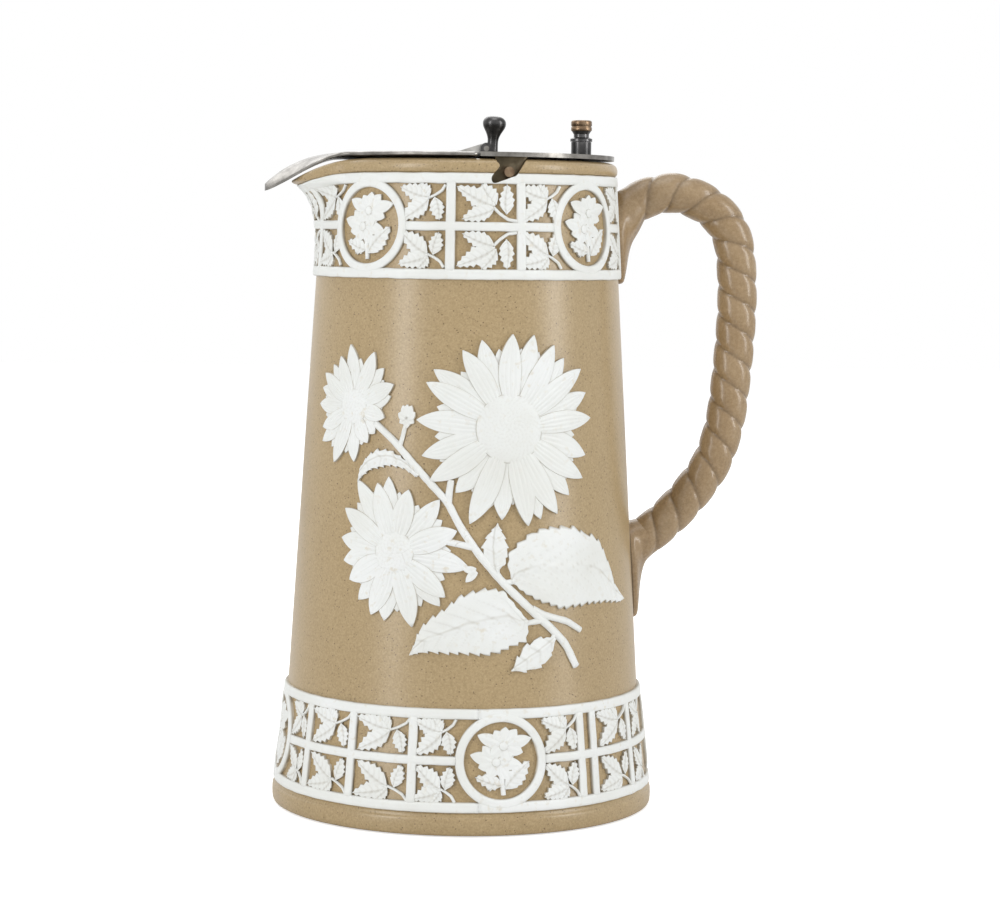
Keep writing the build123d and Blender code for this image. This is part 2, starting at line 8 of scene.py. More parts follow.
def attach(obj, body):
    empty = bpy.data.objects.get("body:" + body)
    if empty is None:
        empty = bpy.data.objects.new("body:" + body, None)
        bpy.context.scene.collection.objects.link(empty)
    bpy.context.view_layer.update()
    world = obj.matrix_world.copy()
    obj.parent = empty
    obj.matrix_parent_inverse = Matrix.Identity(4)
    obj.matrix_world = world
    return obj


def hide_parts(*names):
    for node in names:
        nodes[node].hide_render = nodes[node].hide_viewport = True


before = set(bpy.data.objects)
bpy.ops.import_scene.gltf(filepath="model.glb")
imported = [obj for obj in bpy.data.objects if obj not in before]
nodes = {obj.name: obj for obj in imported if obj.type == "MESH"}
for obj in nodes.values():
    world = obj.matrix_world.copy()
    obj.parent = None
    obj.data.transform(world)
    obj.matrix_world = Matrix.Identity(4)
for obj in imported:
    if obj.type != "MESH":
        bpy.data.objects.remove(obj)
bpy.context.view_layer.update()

# The pot's wall
# A thrown cone of tan stoneware with a rounded plinth, a rolled rim and a spout flared to the left.
# Lengths are millimetres until a mesh is made; angle 0 faces the camera side (-Y) and 90 the handle (+X).
NECK_RADIUS = 47.35
NECK_HEIGHT = 205.4
HIP_RADIUS = 57.6
HIP_HEIGHT = 38.3
PLINTH_RADIUS = 61.2
PLINTH_HEIGHT = 7.0
RIM_HEIGHT = 210.0
WALL = 5.0
SPOUT_AXIS = 29.0
THROAT_RADIUS = 20.6
THROAT_HEIGHT = 192.5
THROAT_LEAN = radians(9.9)
FLARE_RADIUS = 16.5
LIP_LEAN = radians(57.5)
DIP_START = 36.0
DIP_RUN = 21.0
LIP_DROP = 6.0
BEAD_DROP = 4.2
BLEND = 0.5
SPOUT_LOW = 176
SPOUT_SIDE = 60


def wall_radius(z):
    """Bare radius of the round wall at a height."""
    if z < HIP_HEIGHT:
        return HIP_RADIUS + (PLINTH_RADIUS - HIP_RADIUS) * (HIP_HEIGHT - z) / (HIP_HEIGHT - PLINTH_HEIGHT)
    return NECK_RADIUS + (HIP_RADIUS - NECK_RADIUS) * (NECK_HEIGHT - z) / (NECK_HEIGHT - HIP_HEIGHT)


def spout_radius(z, grow):
    """Radius of the spout about its own upright line."""
    radius = FLARE_RADIUS - grow
    centre_r = THROAT_RADIUS + FLARE_RADIUS * cos(THROAT_LEAN)
    centre_z = THROAT_HEIGHT - FLARE_RADIUS * sin(THROAT_LEAN)
    low_z = centre_z + radius * sin(THROAT_LEAN)
    high_z = centre_z + radius * sin(LIP_LEAN)
    if z < low_z:
        return centre_r - radius * cos(THROAT_LEAN) - (low_z - z) * tan(THROAT_LEAN)
    return centre_r - sqrt(radius**2 - (min(z, high_z) - centre_z) ** 2)


def skin(angle, z, grow=0.0):
    """Distance of the pot's surface from the axis, spout included, made thicker by grow."""
    radius = wall_radius(z) + grow
    if z < SPOUT_LOW or abs(angle % 360 - 270) > SPOUT_SIDE:
        return radius
    turn = radians(angle + 90)
    trumpet = spout_radius(z, grow)
    under = trumpet**2 - (SPOUT_AXIS * sin(turn)) ** 2
    if under <= 0:
        return radius
    reach = SPOUT_AXIS * cos(turn) + sqrt(under)
    top = max(radius, reach)
    if abs(radius - reach) >= 6:
        return top
    return top + BLEND * log(exp((radius - top) / BLEND) + exp((reach - top) / BLEND))


def dip(x, drop):
    """How far a level line has dipped at a distance towards the spout."""
    radius = (DIP_RUN**2 + drop**2) / (2 * drop)
    run = min(max(x - DIP_START, 0.0), radius * 0.95)
    return radius - sqrt(radius**2 - run**2)


def line_height(angle, level, drop, grow=0.0):
    """Height at which the pot's surface meets a level line that dips towards the spout."""
    if abs(angle % 360 - 270) > SPOUT_SIDE:
        return level
    low, high = level - 2 * drop, level
    for _ in range(24):
        z = (low + high) / 2
        x = skin(angle, z, grow) * cos(radians(angle + 90))
        if z < level - dip(x, drop):
            low = z
        else:
            high = z
    return (low + high) / 2


def place(angle, radius, z):
    """A point in millimetres from its angle round the pot, distance from the axis and height."""
    return (radius * sin(radians(angle)), -radius * cos(radians(angle)), z)


def colour(text):
    """A linear colour from an sRGB hex string."""
    parts = [int(text[k:k + 2], 16) / 255 for k in (1, 3, 5)]
    return tuple(p / 12.92 if p <= 0.04045 else ((p + 0.055) / 1.055) ** 2.4 for p in parts) + (1.0,)


def add(tree, kind, settings=None, links=None):
    """One node with its settings and the sockets that feed it."""
    made = tree.nodes.new(kind)
    for key, value in (settings or {}).items():
        if isinstance(key, int) or key in made.inputs.keys():
            made.inputs[key].default_value = value
        else:
            setattr(made, key, value)
    for key, source in (links or {}).items():
        tree.links.new(source, made.inputs[key])
    return made


def cloud(tree, place_in, scale, detail=2.0, roughness=0.5):
    """Cloudy noise from 0 to 1; its patches are about 1000 / scale millimetres wide."""
    settings = {"Scale": scale, "Detail": detail, "Roughness": roughness}
    return add(tree, "ShaderNodeTexNoise", settings, {"Vector": place_in}).outputs["Fac"]


def new_material(name):
    """An empty material with its surface shader and its Object coordinates."""
    made = bpy.data.materials.new(name)
    made.use_nodes = True
    tree = made.node_tree
    shader = tree.nodes["Principled BSDF"]
    coords = add(tree, "ShaderNodeTexCoord").outputs["Object"]
    return made, tree, shader, coords


def ramp(tree, source, stops):
    """A colour ramp over a value."""
    made = add(tree, "ShaderNodeValToRGB", links={"Fac": source})
    band = made.color_ramp
    band.elements[0].position, band.elements[0].color = stops[0]
    band.elements[1].position, band.elements[1].color = stops[-1]
    for position, value in stops[1:-1]:
        band.elements.new(position).color = value
    return made.outputs["Color"]


def mix(tree, factor, a, b, mode="MIX"):
    """Two colours mixed by a factor that is a socket or a number."""
    made = tree.nodes.new("ShaderNodeMix")
    made.data_type = "RGBA"
    made.blend_type = mode
    for key, value in ((0, factor), (6, a), (7, b)):
        if hasattr(value, "links"):
            tree.links.new(value, made.inputs[key])
        else:
            made.inputs[key].default_value = value
    return made.outputs[2]


def build(name, points, faces, materials, picks=None, painted_shades=None):
    """A mesh object from points in millimetres, with a painted shade value at each point where one is given.
    """
    mesh = bpy.data.meshes.new(name)
    mesh.from_pydata([(x / 1000, y / 1000, z / 1000) for x, y, z in points], [], faces)
    for material in materials:
        mesh.materials.append(material)
    if picks:
        mesh.polygons.foreach_set("material_index", picks)
    mesh.polygons.foreach_set("use_smooth", [True] * len(mesh.polygons))
    if painted_shades:
        mesh.attributes.new("painted_shade", "FLOAT", "POINT").data.foreach_set("value", painted_shades)
    mesh.update()
    made = bpy.data.objects.new(name, mesh)
    bpy.context.scene.collection.objects.link(made)
    return made


def lathe_faces(rows, columns):
    """Quads between rows of points that each close round on themselves."""
    faces = []
    for row in range(rows - 1):
        start = row * columns
        for k in range(columns):
            n = (k + 1) % columns
            faces.append((start + k, start + n, start + columns + n, start + columns + k))
    return faces


def face_outwards(made):
    """Turns the faces of a closed mesh outwards."""
    tidy = bmesh.new()
    tidy.from_mesh(made.data)
    bmesh.ops.recalc_face_normals(tidy, faces=tidy.faces)
    tidy.to_mesh(made.data)
    tidy.free()


def cut_out(target, outlines, y_low, y_high):
    """Cuts prisms that run along Y out of a mesh for good."""
    for outline in outlines:
        count = len(outline)
        points = [(x, y, z) for y in (y_low, y_high) for x, z in outline]
        faces = [tuple(range(count)), tuple(range(2 * count - 1, count - 1, -1))]
        faces += [(k, k + count, (k + 1) % count + count, (k + 1) % count) for k in range(count)]
        cutter = build("cutter", points, faces, [])
        face_outwards(cutter)
        change = target.modifiers.new("cut", "BOOLEAN")
        change.object = cutter
        change.operation = "DIFFERENCE"
        change.solver = "EXACT"
        bpy.context.view_layer.update()
        seen = target.evaluated_get(bpy.context.evaluated_depsgraph_get())
        result = bpy.data.meshes.new_from_object(seen)
        target.modifiers.clear()
        target.data = result
        bpy.data.objects.remove(cutter)


def through(a, b, c, d, t):
    """A point between b and c on the smooth curve through four points."""
    bend = (2 * a - 5 * b + 4 * c - d) * t**2 + (3 * b - a - 3 * c + d) * t**3
    return 0.5 * (2 * b + (c - a) * t + bend)


def rounded(points, steps=4):
    """A closed smooth line through corner points."""
    made = []
    count = len(points)
    for k in range(count):
        a, b, c, d = (Vector(points[(k + step) % count]) for step in (-1, 0, 1, 2))
        made += [tuple(through(a, b, c, d, step / steps)) for step in range(steps)]
    return made


# The slot in the rim runs down and back to a hook, so that a stud can be slid in and held.
SLOT = rounded([(4.4, 213.0), (4.4, 209.6), (5.4, 207.6), (3.0, 204.4), (3.6, 202.4),
                (6.6, 203.2), (9.2, 204.2), (11.2, 205.2), (14.3, 210.2), (16.2, 213.0)])
FLANK_INNER = 38
FLANK_OUTER = 60

# Salt-glazed tan stoneware: a soft sheen, fine grit, and dark specks under a third of a millimetre.
stoneware, tree, shader, coords = new_material("tan_stoneware")
broad = cloud(tree, coords, 26.0, 4.0)
body_stops = [(0.3, colour("#A58F69")), (0.5, colour("#A9936D")), (0.72, colour("#AE9872"))]
body_colour = ramp(tree, broad, body_stops)
grain = cloud(tree, coords, 1500.0, 2.0, 0.7)
grit_stops = [(0.35, colour("#8F7A54")), (0.5, colour("#A9926C")), (0.68, colour("#BFA984"))]
body_colour = mix(tree, 0.4, body_colour, ramp(tree, grain, grit_stops))
specks = add(tree, "ShaderNodeTexVoronoi", {"Scale": 900.0, "Randomness": 1.0}, {"Vector": coords})
chosen = cloud(tree, coords, 620.0, 1.0)
dot = ramp(tree, specks.outputs["Distance"], [(0.12, (1, 1, 1, 1)), (0.26, (0, 0, 0, 1))])
rare = ramp(tree, chosen, [(0.46, (0, 0, 0, 1)), (0.58, (0.85, 0.85, 0.85, 1))])
dark = mix(tree, 1.0, dot, rare, "MULTIPLY")
body_colour = mix(tree, dark, body_colour, colour("#5C4A31"))
tree.links.new(body_colour, shader.inputs["Base Color"])
shader.inputs["Roughness"].default_value = 0.3
shader.inputs["Specular IOR Level"].default_value = 0.5
# Faint rings that the turning left, some 1.5 mm apart.
stretch = add(tree, "ShaderNodeMapping", {"Scale": (1.0, 1.0, 9.0)}, {"Vector": coords})
turning = cloud(tree, stretch.outputs["Vector"], 70.0, 4.0)
height = add(tree, "ShaderNodeMath", {"operation": "MULTIPLY_ADD", 1: 0.6},
             {0: turning, 2: grain})
bump = add(tree, "ShaderNodeBump", {"Strength": 0.2, "Distance": 0.0002}, {"Height": height.outputs[0]})
tree.links.new(bump.outputs["Normal"], shader.inputs["Normal"])

# Profiles: the plinth as radius and height; the rim bead as share of its height and how far it stands out.
COLUMNS = 300
PLINTH = [(60.6, 0.0), (61.5, 0.06), (62.1, 0.4), (62.42, 1.0), (62.55, 1.9), (62.6, 3.2), (62.55, 4.9),
          (62.45, 5.5), (62.15, 5.75), (61.95, 5.95), (61.85, 6.4), (61.6, 6.85), (61.25, 7.3)]
BEAD = [(0.0, -0.2), (0.03, 0.35), (0.1, 0.85), (0.22, 1.16), (0.38, 1.3), (0.54, 1.28), (0.69, 1.08),
        (0.82, 0.65), (0.92, -0.1), (0.98, -1.0), (1.0, -2.0), (1.0, -3.1), (0.97, -4.0), (0.88, -4.7),
        (0.6, -5.0)]
RIM_PROUD = 1.2
WALL_LOW = 9.0
WALL_STEP = 5.2
SHOULDER = 174.0
INNER_SHOULDER = 178.0
INNER_HIGH = 168.0
INNER_STEP = 15.2
CORNER = 9.0
CORNER_HEIGHT = 16.0
FLOOR = 7.0
rows = []
for column in range(COLUMNS):
    angle = 360.0 * column / COLUMNS
    edge = line_height(angle, NECK_HEIGHT, BEAD_DROP, RIM_PROUD)
    rim = line_height(angle, RIM_HEIGHT, LIP_DROP, RIM_PROUD)
    low = edge + (rim - edge) * 0.2
    outer = [WALL_LOW + WALL_STEP * k for k in range(32)]
    outer += [SHOULDER + (edge - SHOULDER) * k / 18 for k in range(18)]
    line = PLINTH + [(skin(angle, z), z) for z in outer]
    bead = [(edge + (rim - edge) * share, grow) for share, grow in BEAD]
    line += [(skin(angle, z, grow), z) for z, grow in bead]
    inner = [low + (INNER_SHOULDER - low) * k / 12 for k in range(1, 13)]
    inner += [INNER_HIGH - INNER_STEP * k for k in range(11)]
    line += [(skin(angle, z, -WALL), z) for z in inner]
    line += [(wall_radius(CORNER_HEIGHT) - WALL - CORNER * (1 - cos(a)), CORNER_HEIGHT - CORNER * sin(a))
             for a in (0.4, 0.8, 1.2, pi / 2)]
    line += [(30.0, FLOOR), (10.0, FLOOR), (1.0, FLOOR)]
    rows.append([place(angle, radius, z) for radius, z in line])
count = len(rows[0])
points = [rows[column][k] for k in range(count) for column in range(COLUMNS)]
faces = lathe_faces(count, COLUMNS)
points += [(0, 0, FLOOR), (0, 0, 0.0)]
last = (count - 1) * COLUMNS
faces += [(last + k, last + (k + 1) % COLUMNS, len(points) - 2) for k in range(COLUMNS)]
faces += [((k + 1) % COLUMNS, k, len(points) - 1) for k in range(COLUMNS)]
pot = build("pot_wall", points, faces, [stoneware])
cut_out(pot, [SLOT], -FLANK_OUTER, -FLANK_INNER)
cut_out(pot, [SLOT], FLANK_INNER, FLANK_OUTER)
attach(pot, "root")
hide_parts("jug_body")

# The sunflower spray
# Pads of white clay laid on the wall: three flower heads, a bud, leaves and stems, and the same
# again on the far side. Petals and leaves follow their places on the real jug; each has a crown,
# ribs and a thin edge down to the wall.
RELIEF = 1.2
EDGE_DEPTH = -0.25

# White clay pressed from moulds: satin, a few tan stains and rare hair cracks, and grey painted shade in its
# grooves, beside its veins and at its edges.
white_clay, tree, shader, coords = new_material("white_clay")
patch = cloud(tree, coords, 45.0, 3.0)
clay_stops = [(0.3, colour("#DFE0DB")), (0.5, colour("#E4E6E3")), (0.7, colour("#E8EAE9"))]
clay_colour = ramp(tree, patch, clay_stops)
fleck = cloud(tree, coords, 520.0, 3.0)
flecks = ramp(tree, fleck, [(0.58, (0, 0, 0, 1)), (0.76, (0.6, 0.6, 0.6, 1))])
where = ramp(tree, patch, [(0.42, (0.12, 0.12, 0.12, 1)), (0.62, (1, 1, 1, 1))])
clay_colour = mix(tree, mix(tree, 1.0, flecks, where, "MULTIPLY"), clay_colour, colour("#CFC5AE"))
crack = add(tree, "ShaderNodeTexVoronoi", {"feature": "DISTANCE_TO_EDGE", "Scale": 95.0}, {"Vector": coords})
line = ramp(tree, crack.outputs["Distance"], [(0.003, (0.4, 0.4, 0.4, 1)), (0.01, (0, 0, 0, 1))])
region = cloud(tree, coords, 22.0)
some = ramp(tree, region, [(0.68, (0, 0, 0, 1)), (0.72, (0.8, 0.8, 0.8, 1))])
clay_colour = mix(tree, mix(tree, 1.0, line, some, "MULTIPLY"), clay_colour, colour("#8F8570"))
# Painted shade: each point's shade value greys the clay in grooves, beside veins and along edges.
painted_shade_node = add(tree, "ShaderNodeAttribute", {"attribute_name": "painted_shade"})
shade_amount = ramp(tree, painted_shade_node.outputs["Fac"], [(0.1, (0, 0, 0, 1)), (1.0, (0.85, 0.85, 0.85, 1))])
clay_colour = mix(tree, shade_amount, clay_colour, colour("#A69F90"))
tree.links.new(clay_colour, shader.inputs["Base Color"])
shader.inputs["Roughness"].default_value = 0.5
rough = cloud(tree, coords, 420.0, 3.0)
bump = add(tree, "ShaderNodeBump", {"Strength": 0.5, "Distance": 0.00025}, {"Height": rough})
tree.links.new(bump.outputs["Normal"], shader.inputs["Normal"])

# The cut edge of the same clay, painted grey as the shade along each pad's edge down into the wall.
shaded_clay_edge, tree, shader, coords = new_material("white_clay_shaded_edge")
painted_shade = cloud(tree, coords, 160.0, 3.0)
edge_shade_colour = ramp(tree, painted_shade, [(0.35, colour("#8F8470")), (0.6, colour("#C6BFB0"))])
tree.links.new(edge_shade_colour, shader.inputs["Base Color"])
shader.inputs["Roughness"].default_value = 0.6


class Clay:
    """Collects grids of clay points, given as angle, height, thickness and an optional painted shade, into
    one mesh.
    """

    def __init__(self):
        self.points = []
        self.faces = []
        self.picks = []
        self.painted_shades = []

    def grid(self, rows, closed=False):
        """Adds one grid with a thin edge that goes down into the wall all round."""
        base = len(self.points)
        width = len(rows[0])
        for row in rows:
            # An optional fourth value is painted shade, greying the clay where it lies in a groove or at an
            # edge.
            for angle, z, thickness, *painted_shade in row:
                self.points.append(place(angle, skin(angle, z, thickness), z))
                self.painted_shades.append(painted_shade[0] if painted_shade else 0.0)
        middle = base + (len(rows) // 2 - 1) * width + width // 2
        here, beside, below = (Vector(self.points[i]) for i in (middle, middle + 1, middle + width))
        centre = Vector(self.points[middle + width])
        flip = (beside - here).cross(below - here).dot(Vector((centre.x, centre.y, 0))) < 0
        for r in range(len(rows) - 1):
            start = base + r * width
            for k in range(width if closed else width - 1):
                n = (k + 1) % width
                quad = (start + k, start + n, start + width + n, start + width + k)
                self.faces.append(quad[::-1] if flip else quad)
                self.picks.append(0)
        end = (len(rows) - 1) * width
        if closed:
            self.skirt([base + end + k for k in range(width)], rows[-1], flip)
            if rows[0][0][:2] != rows[0][width // 2][:2]:
                self.skirt([base + k for k in range(width)][::-1], rows[0][::-1], flip)
        else:
            border = [base + k for k in range(width)]
            border += [base + r * width + width - 1 for r in range(1, len(rows))]
            border += [base + end + k for k in range(width - 2, -1, -1)]
            border += [base + r * width for r in range(len(rows) - 2, 0, -1)]
            flat = [rows[(i - base) // width][(i - base) % width] for i in border]
            self.skirt(border[::-1], flat[::-1], flip)

    def skirt(self, border, flat, flip):
        """The edge of a pad, from its border down into the wall."""
        start = len(self.points)
        # The whole edge carries full painted shade.
        for angle, z, *_ in flat:
            self.points.append(place(angle, skin(angle, z, EDGE_DEPTH), z))
            self.painted_shades.append(1.0)
        for k in range(len(border)):
            n = (k + 1) % len(border)
            quad = (border[k], border[n], start + n, start + k)
            self.faces.append(quad[::-1] if flip else quad)
            self.picks.append(1)

    def again(self):
        """The same pads on the far side of the pot."""
        count = len(self.points)
        self.points += [(-x, -y, z) for x, y, z in self.points]
        self.faces += [tuple(i + count for i in face) for face in self.faces]
        self.picks += self.picks
        self.painted_shades += self.painted_shades

    def done(self, name, node):
        """Makes the piece, which stands for a CAD node of the pot."""
        made = build(name, self.points, self.faces, [white_clay, shaded_clay_edge], self.picks, self.painted_shades)
        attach(made, "root")
        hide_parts(node)
        return made


def around(angle, z, u, v):
    """The angle and height of a point measured along the wall from a centre."""
    return (angle + degrees(u / (wall_radius(z) + RELIEF)), z + v)


def petal(clay, centre, start, tip_u, tip_v, width, top, bend, ribs=3, columns=13):
    """One pointed petal from the disc to its tip, with a crown, ribs and a small bend."""
    length = hypot(tip_u, tip_v)
    along = (tip_u / length, tip_v / length)
    across = (-along[1], along[0])
    spread = [-1.0, -0.93] + [2 * k / (columns - 1) - 1 for k in range(1, columns - 1)] + [0.93, 1.0]
    widest = 0.42
    rows = []
    for step in range(15):
        s = step / 14
        if s < widest:
            half = width * (0.62 + 0.38 * sin(pi / 2 * s / widest)) / 2
        else:
            half = width * max(1 - ((s - widest) / (1 - widest)) ** 2.1, 0.0) ** 0.85 / 2
        half = max(half, 0.12)
        reach = start + (length - start) * s
        side = bend * sin(pi * s)
        row = []
        for c in spread:
            u = along[0] * reach + across[0] * (c * half + side)
            v = along[1] * reach + across[1] * (c * half + side)
            crown = (1 - abs(c) ** 3) * min(1.0, half / (0.3 * width))
            rib = 0.1 * cos(pi * ribs * (c + 1)) * (1 - s) ** 0.5 * (1 - abs(c) ** 4)
            # Painted shade: grey along the petal's edges and in the grooves between its ribs.
            painted_shade = 0.85 if abs(c) > 0.95 else max(0.0, -rib * 2.6)
            row.append(around(centre[0], centre[1], u, v) + (top * (0.84 + 0.16 * crown) + rib, painted_shade))
        rows.append(row)
    clay.grid(rows)


def seed_disc(clay, centre, radius, top, seeds, rise):
    """A domed disc covered with seeds that run out in spirals."""
    golden = 2.39996
    spots = []
    for k in range(seeds):
        out = radius * 0.94 * sqrt((k + 0.5) / seeds)
        spots.append((out * cos(k * golden), out * sin(k * golden)))
    spacing = radius * 1.75 / sqrt(seeds)
    rows = []
    for step in range(30):
        r = radius * step / 29
        row = []
        for column in range(84):
            a = 2 * pi * column / 84
            u, v = r * cos(a), r * sin(a)
            near = min((u - p) ** 2 + (v - q) ** 2 for p, q in spots)
            seed = max(0.0, 1 - near / (spacing * 0.5) ** 2) * 0.1
            angle, z = around(centre[0], centre[1], u, v)
            # Painted shade: grey round the disc's rim and between the seeds.
            painted_shade = 0.9 if step == 29 else max(0.0, 0.2 - seed * 3)
            dome = rise * (1 - (r / radius) ** 2) - 0.25 * (r / radius) ** 8
            row.append((angle, z, top + dome + seed, painted_shade))
        rows.append(row)
    clay.grid(rows, closed=True)


def flower_head(name, centre, disc, tips, top, seeds, seed):
    """A sunflower: a lower and an upper round of petals with a seeded disc over them."""
    clay = Clay()
    chance = random.Random(seed)
    reach = wall_radius(centre[1]) + RELIEF
    local = [(radians(angle - centre[0]) * reach, z - centre[1]) for angle, z in tips]
    local.sort(key=lambda p: atan2(p[1], p[0]))
    count = len(local)
    mean = sum(hypot(*p) for p in local) / count
    width = 2 * pi * mean * 0.62 / count * 1.5
    root = disc * 0.8
    for k, (u, v) in enumerate(local):
        n = local[(k + 1) % count]
        a = atan2(v, u)
        step = (atan2(n[1], n[0]) - a) % (2 * pi)
        between = a + step * (0.5 + chance.uniform(-0.06, 0.06))
        length = (hypot(u, v) + hypot(*n)) / 2 * chance.uniform(0.78, 0.86)
        u, v = length * cos(between), length * sin(between)
        petal(clay, centre, root, u, v, width * 0.9, top * 0.55, 0, 2)
    for k, (u, v) in enumerate(local):
        lift = 1.0 if k % 2 else 0.78
        broad = width * chance.uniform(0.9, 1.04)
        petal(clay, centre, root, u, v, broad, top * lift, chance.uniform(-0.6, 0.6), 5, 25)
    seed_disc(clay, centre, disc, top * 1.08, seeds, 0.3)
    clay.again()
    return clay.done(name, name)


LARGE_TIPS = [(11.3, 155.7), (19.3, 155.4), (27.1, 152.2), (31.3, 148.1), (38.8, 144.6), (41.1, 137.1),
              (43, 129.1), (40, 117.5), (38.1, 110.3), (32.1, 105.2), (27, 99.6), (20.8, 98.1),
              (16.3, 96.1), (7.3, 98.1), (-3.3, 96.9), (-8, 106.5), (-16.7, 110), (-19.6, 117.7),
              (-21.8, 128.8), (-18.6, 140.5), (-16.2, 144.5), (-6.3, 150.6), (0.3, 153.8)]
SIDE_TIPS = [(-50.2, 151.4), (-38.9, 149.3), (-34.9, 144.4), (-30.7, 139.5), (-31.7, 135.7), (-33.7, 129.1),
             (-37.4, 123.9), (-40.1, 120.9), (-45.8, 114.7), (-55.6, 114), (-63.7, 120.2), (-63.7, 124.7),
             (-67.2, 131.9), (-65.7, 137.1), (-64.1, 141.8), (-59.2, 144.7), (-54.9, 147.5)]
LOW_TIPS = [(-31.2, 110.7), (-23.8, 107), (-13.2, 104.2), (-7.4, 94.6), (-3.4, 83.2), (-10.9, 74),
            (-12.5, 71.2), (-21.3, 64.4), (-30.9, 65.9), (-35.7, 67.4), (-40.9, 71.7), (-44.9, 77.7),
            (-48, 83.5), (-49.5, 90.6), (-48.4, 99.9), (-43.6, 109.1), (-35.3, 108.6)]
flower_head("large_sunflower", (10.0, 126.4), 10.8, LARGE_TIPS, RELIEF, 230, 3)
flower_head("side_sunflower", (-47.0, 132.0), 5.6, SIDE_TIPS, RELIEF * 0.95, 70, 5)
flower_head("low_sunflower", (-28.2, 87.3), 6.6, LOW_TIPS, RELIEF * 0.95, 90, 8)

bud = Clay()
SMALL_PETALS = ((-2.9, 1.4, 3.0), (2.7, 1.8, 3.0), (-1.4, 3.9, 2.8), (1.5, 3.9, 2.8), (0.0, 4.2, 2.6))
for tip_u, tip_v, width in SMALL_PETALS:
    petal(bud, (-25.3, 129.2), 0.2, tip_u, tip_v, width, RELIEF * 0.95, 0, 1)
for tip_u, tip_v in ((-2.4, -1.6), (2.4, -1.5), (0.0, -3.2)):
    petal(bud, (-25.3, 129.2), 0.1, tip_u, tip_v, 2.4, RELIEF * 0.85, 0, 1)
bud.again()
bud.done("sunflower_bud", "sunflower_bud")


def resampled(line, count):
    """Points at even distances along a line of angle and height."""
    reach = wall_radius(line[0][1]) + RELIEF
    flat = [(radians(angle) * reach, z) for angle, z in line]
    lengths = [0.0]
    for a, b in zip(flat, flat[1:]):
        lengths.append(lengths[-1] + hypot(b[0] - a[0], b[1] - a[1]))
    made = []
    k = 0
    for step in range(count):
        goal = lengths[-1] * step / (count - 1)
        while k < len(flat) - 2 and lengths[k + 1] < goal:
            k += 1
        t = (goal - lengths[k]) / max(lengths[k + 1] - lengths[k], 1e-6)
        (angle, z), (next_angle, next_z) = line[k], line[k + 1]
        made.append((angle + (next_angle - angle) * t, z + (next_z - z) * t))
    return made


def blade(clay, upper, lower, teeth, veins, top=RELIEF, tooth=1.3, rows_count=110):
    """A leaf between two edges that run from stalk to tip, with teeth, a midrib and side veins."""
    a_side = resampled(upper, rows_count)
    b_side = resampled(lower, rows_count)
    reach = wall_radius(upper[0][1]) + RELIEF
    rows = []
    for k, (a, b) in enumerate(zip(a_side, b_side)):
        s = k / (rows_count - 1)
        mid = ((a[0] + b[0]) / 2, (a[1] + b[1]) / 2)
        half = hypot(radians(a[0] - b[0]) * reach, a[1] - b[1]) / 2
        row = []
        for column in range(25):
            c = column / 12 - 1
            end = a if c > 0 else b
            notch = (s * teeth) % 1.0
            spread = 1 - (tooth * notch / max(half, 0.9)) * abs(c) ** 6 if 0.03 < s < 0.97 else 1.0
            share = abs(c) * max(spread, 0.5)
            angle = mid[0] + (end[0] - mid[0]) * share
            z = mid[1] + (end[1] - mid[1]) * share
            lines = (s * veins - abs(c) * half * veins / 55.0 * 1.6) % 1.0
            vein = 0.2 * exp(-((lines - 0.5) / 0.12) ** 2) * (1 - abs(c) ** 4)
            rib = 0.32 * exp(-(c * half / 0.5) ** 2) * (1 - s) ** 0.4
            crown = 0.62 + 0.38 * (1 - abs(c) ** 3)
            # Painted shade: grey along the leaf's edges, along one side of each vein and along one side of
            # the midrib.
            vein_side_shade = 0.3 * exp(-(((lines - 0.5) / 0.1) - 1.6) ** 2) * (1 - abs(c) ** 3)
            rib_side_shade = 0.5 * exp(-((abs(c) * half - 0.7) / 0.3) ** 2) * (c > 0)
            painted_shade = 0.7 if abs(c) > 0.97 else min(vein_side_shade + rib_side_shade, 0.6)
            row.append((angle, z, top * 0.86 * crown + rib + vein, painted_shade))
        rows.append(row)
    clay.grid(rows)


